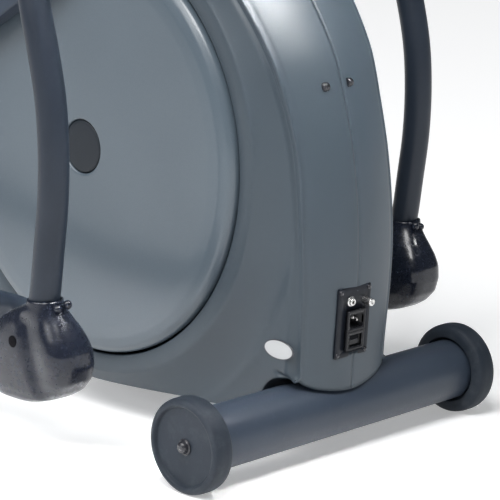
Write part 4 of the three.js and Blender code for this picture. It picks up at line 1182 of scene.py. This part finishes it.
# ---------------------------------------------------------------- handlebar
# A fixed bar of 28 mm tube is clamped behind the mast. Its two ends carry bright plated pulse grips,
# each with a shallow groove round its middle.
BAR_PATH = np.array(
    [
        (-395, -118, 1262), (-330, -120, 1236), (-275, -108, 1205), (-262, -60, 1188), (-260, 0, 1183),
        (-262, 60, 1188), (-275, 108, 1205), (-330, 120, 1236), (-395, 118, 1262),
    ]
) / 1000 + (FRONT_X, 0, 0)
bar_line = flowing(BAR_PATH, 160)
bar_tube = surface(
    "handlebar_tube", swept(bar_line, circle(0.014, 36)), FRAME_COAT, "frame",
    ["fixed_handlebar"],
)
clamp_x = mast_x(1.185) - 0.0415
clamp = bar((clamp_x, 0, 1.165), (clamp_x, 0, 1.205), 0.022, 0.0100, 0.005)
clamp_block = surface("handlebar_clamp", clamp, FRAME_COAT, "frame")
joined("handlebar_tube", [bar_tube, clamp_block])
for side, sign in SIDES:
    covered = bar_line[bar_line[:, 0] < FRONT_X - 0.288]
    covered = covered[covered[:, 1] * sign > 0]
    covered = covered[np.argsort(covered[:, 0])]
    share = np.linspace(0, 1, len(covered))
    ends = np.sqrt(np.clip(1 - (np.clip(np.abs(share - 0.5) - 0.46, 0, 1) / 0.04) ** 2, 0.6, 1))
    band = 1 - 0.05 * smooth(np.abs(share - 0.5), 0.016, 0.004)
    surface(
        f"{side}_pulse_shell", swept(covered, circle(0.0178, 44), sizes=ends * band), plated, "frame",
        [f"{side}_pulse_grip"],
    )

# ---------------------------------------------------------------- console
# A moulded plastic head on the mast's top, tilted back to face the user. A dark display window is set
# flush in it over two keys, and a sleeve below covers the joint with the mast.
HEAD_AT = np.array([mast_x(1.290) + 0.008, 0, 1.390])
HEAD_TILT = 0.5


def on_head(points):
    """Points of (out of the back, across, up) on the head, turned about Y and moved to its place."""
    return pitched(points, HEAD_TILT) + HEAD_AT


def faced(half_y, half_z, corner, levels, centre=(0, 0), count=18):
    """Rounded rectangles at depths: each level is (depth, inset), and the first and last close in."""
    rows = []
    for depth, inset in levels:
        flat = rounded(half_y - inset, half_z - inset, max(corner - inset, 0.0005), count) + centre
        rows.append(lifted(flat, depth))
    return on_head(capped(np.array(rows)))


console_black = speckled(
    "console_plastic", 1100, 3, (0.017, 0.018, 0.021), (0.030, 0.031, 0.035), 0.36, 0.48, 0.0001,
    Metallic=0.0, Specular_IOR_Level=0.5,
)
back_levels = [(0.026, 0.05), (0.0258, 0.03), (0.0235, 0.014), (0.017, 0.0045), (0.007, 0.0005), (-0.004, 0)]
front_levels = [(-0.01, 0.0004), (-0.0128, 0.0022), (-0.014, 0.006), (-0.0136, 0.016), (-0.013, 0.03)]
head = surface(
    "console_shell", faced(0.140, 0.090, 0.034, back_levels + front_levels, (0, 0.005)), console_black,
    "frame", ["console_body"],
)
collar_levels = [(1.252, -0.006), (1.2515, -0.003), (1.253, -0.0005), (1.256, 0), (1.29, 0), (1.355, -0.001)]
collar = stacked([(mast_x(z), z, 0.0375 + grow, 0.0315 + grow, 0.013) for z, grow in collar_levels])
rise = smooth(collar[..., 2], 1.262, 1.355)
collar[..., 2] += rise * 0.85 * (collar[..., 0] - mast_x(collar[..., 2]))
sleeve = surface("console_sleeve", collar, console_black, "frame")
joined("console_shell", [head, sleeve])

screen_glass = Finish(
    "display_window", Metallic=0.0, Specular_IOR_Level=0.6, Coat_Weight=0.6, Coat_Roughness=0.04
)
glass_dust = screen_glass.spread(screen_glass.noise(90, 6, 0.7), 0.5, 0.8, 0, 1)
glass_places = {"Vector": screen_glass.places(), "Scale": 90.0}
glass_rows = screen_glass.node("ShaderNodeTexWave", {"bands_direction": "Y"}, glass_places)
screen_glass.toned(glass_rows * 0.5 + glass_dust * 0.2, (0.030, 0.036, 0.032), (0.060, 0.070, 0.062))
screen_glass.feed("Roughness", 0.07 + glass_dust * 0.12)
screen_glass.grain(glass_dust, 0.00001)
window_levels = [(-0.0105, 0), (-0.0135, 0), (-0.01395, 0.0006), (-0.0141, 0.0016), (-0.0141, 0.010)]
surface(
    "display", faced(0.0915, 0.0425, 0.006, window_levels, (0, 0.031)), screen_glass, "frame",
    ["console_screen"],
)
key_silver = speckled(
    "key_silver", 1300, 3, (0.44, 0.45, 0.47), (0.55, 0.56, 0.57), 0.3, 0.42, 0.00004,
    Metallic=0.35, Specular_IOR_Level=0.5,
)
key_levels = [(-0.0110, 0), (-0.0158, 0), (-0.0166, 0.0006), (-0.0170, 0.0018), (-0.0168, 0.008)]
for name, y in (("start", 0.046), ("stop", -0.046)):
    surface(
        f"{name}_key_cap", faced(0.0155, 0.0125, 0.005, key_levels, (y, -0.059)), key_silver,
        f"{name}_key", [f"{name}_button"],
    )

# ---------------------------------------------------------------- floor, lights and camera
# A pale studio floor, a wide key lamp high on the machine's right, one over its front, a narrow one on
# the casing's shoulder, and a broad sun that stands for a wall of windows.
floor_paint = Finish(
    "studio_floor", Roughness=0.9, Specular_IOR_Level=0.2,
    Emission_Color=(1, 1, 1, 1), Emission_Strength=0.34,
)
floor_paint.toned(floor_paint.noise(2, 2), (0.86, 0.86, 0.86), (0.88, 0.88, 0.88))
bpy.ops.mesh.primitive_plane_add(size=40, location=(0, 0, 0))
floor = bpy.context.object
floor.name = "studio_floor"
floor.data.materials.append(floor_paint.material)

world = bpy.data.worlds.new("studio")
bpy.context.scene.world = world
world.use_nodes = True
world_nodes = world.node_tree.nodes
world_links = world.node_tree.links
seen = world_nodes["Background"]
seen.inputs["Color"].default_value = (1, 1, 1, 1)
seen.inputs["Strength"].default_value = 1.0
lit = world_nodes.new("ShaderNodeBackground")
lit.inputs["Color"].default_value = (0.82, 0.91, 1.0, 1)
lit.inputs["Strength"].default_value = 0.10
path = world_nodes.new("ShaderNodeLightPath")
either = world_nodes.new("ShaderNodeMixShader")
world_links.new(path.outputs["Is Camera Ray"], either.inputs[0])
world_links.new(lit.outputs[0], either.inputs[1])
world_links.new(seen.outputs[0], either.inputs[2])
world_links.new(either.outputs[0], world_nodes["World Output"].inputs["Surface"])


def lamp(name, place, aim, size, power, beam=180):
    """A square area light at a place, turned to face the aim, its beam as many degrees across."""
    from mathutils import Vector

    light = bpy.data.lights.new(name, "AREA")
    light.size = size
    light.energy = power
    light.spread = np.radians(beam)
    made = bpy.data.objects.new(name, light)
    made.location = place
    made.rotation_euler = (Vector(aim) - Vector(place)).to_track_quat("-Z", "Y").to_euler()
    bpy.context.scene.collection.objects.link(made)


lamp("key", (0.1, -3.2, 3.0), (0.55, 0, 0.35), 2.4, 25)
lamp("top", (1.7, -1.5, 3.1), (0.65, 0, 0.55), 1.2, 75)
lamp("edge", (2.05, 0.75, 3.0), (0.70, -0.07, 0.64), 0.5, 2.6, 17)
sky = bpy.data.lights.new("window_wall", "SUN")
sky.energy = 2.2
sky.angle = 0.9
wall = bpy.data.objects.new("window_wall", sky)
wall.rotation_euler = (np.radians(44), 0, np.radians(-14))
bpy.context.scene.collection.objects.link(wall)

turn, drop = np.radians(45.316), np.radians(12.868)
ahead = np.array([-np.sin(turn) * np.cos(drop), np.cos(turn) * np.cos(drop), -np.sin(drop)])
camera = bpy.data.objects.new("camera", bpy.data.cameras.new("camera"))
bpy.context.scene.collection.objects.link(camera)
camera.data.sensor_width = 36
camera.data.lens = 159.2136
camera.data.clip_end = 100
camera.location = (2.53775, -1.8874, 0.8398)
camera.rotation_euler = (np.arccos(-ahead[2]), 0, np.arctan2(-ahead[0], ahead[1]))
bpy.context.scene.camera = camera
bpy.context.scene.view_settings.view_transform = "Standard"
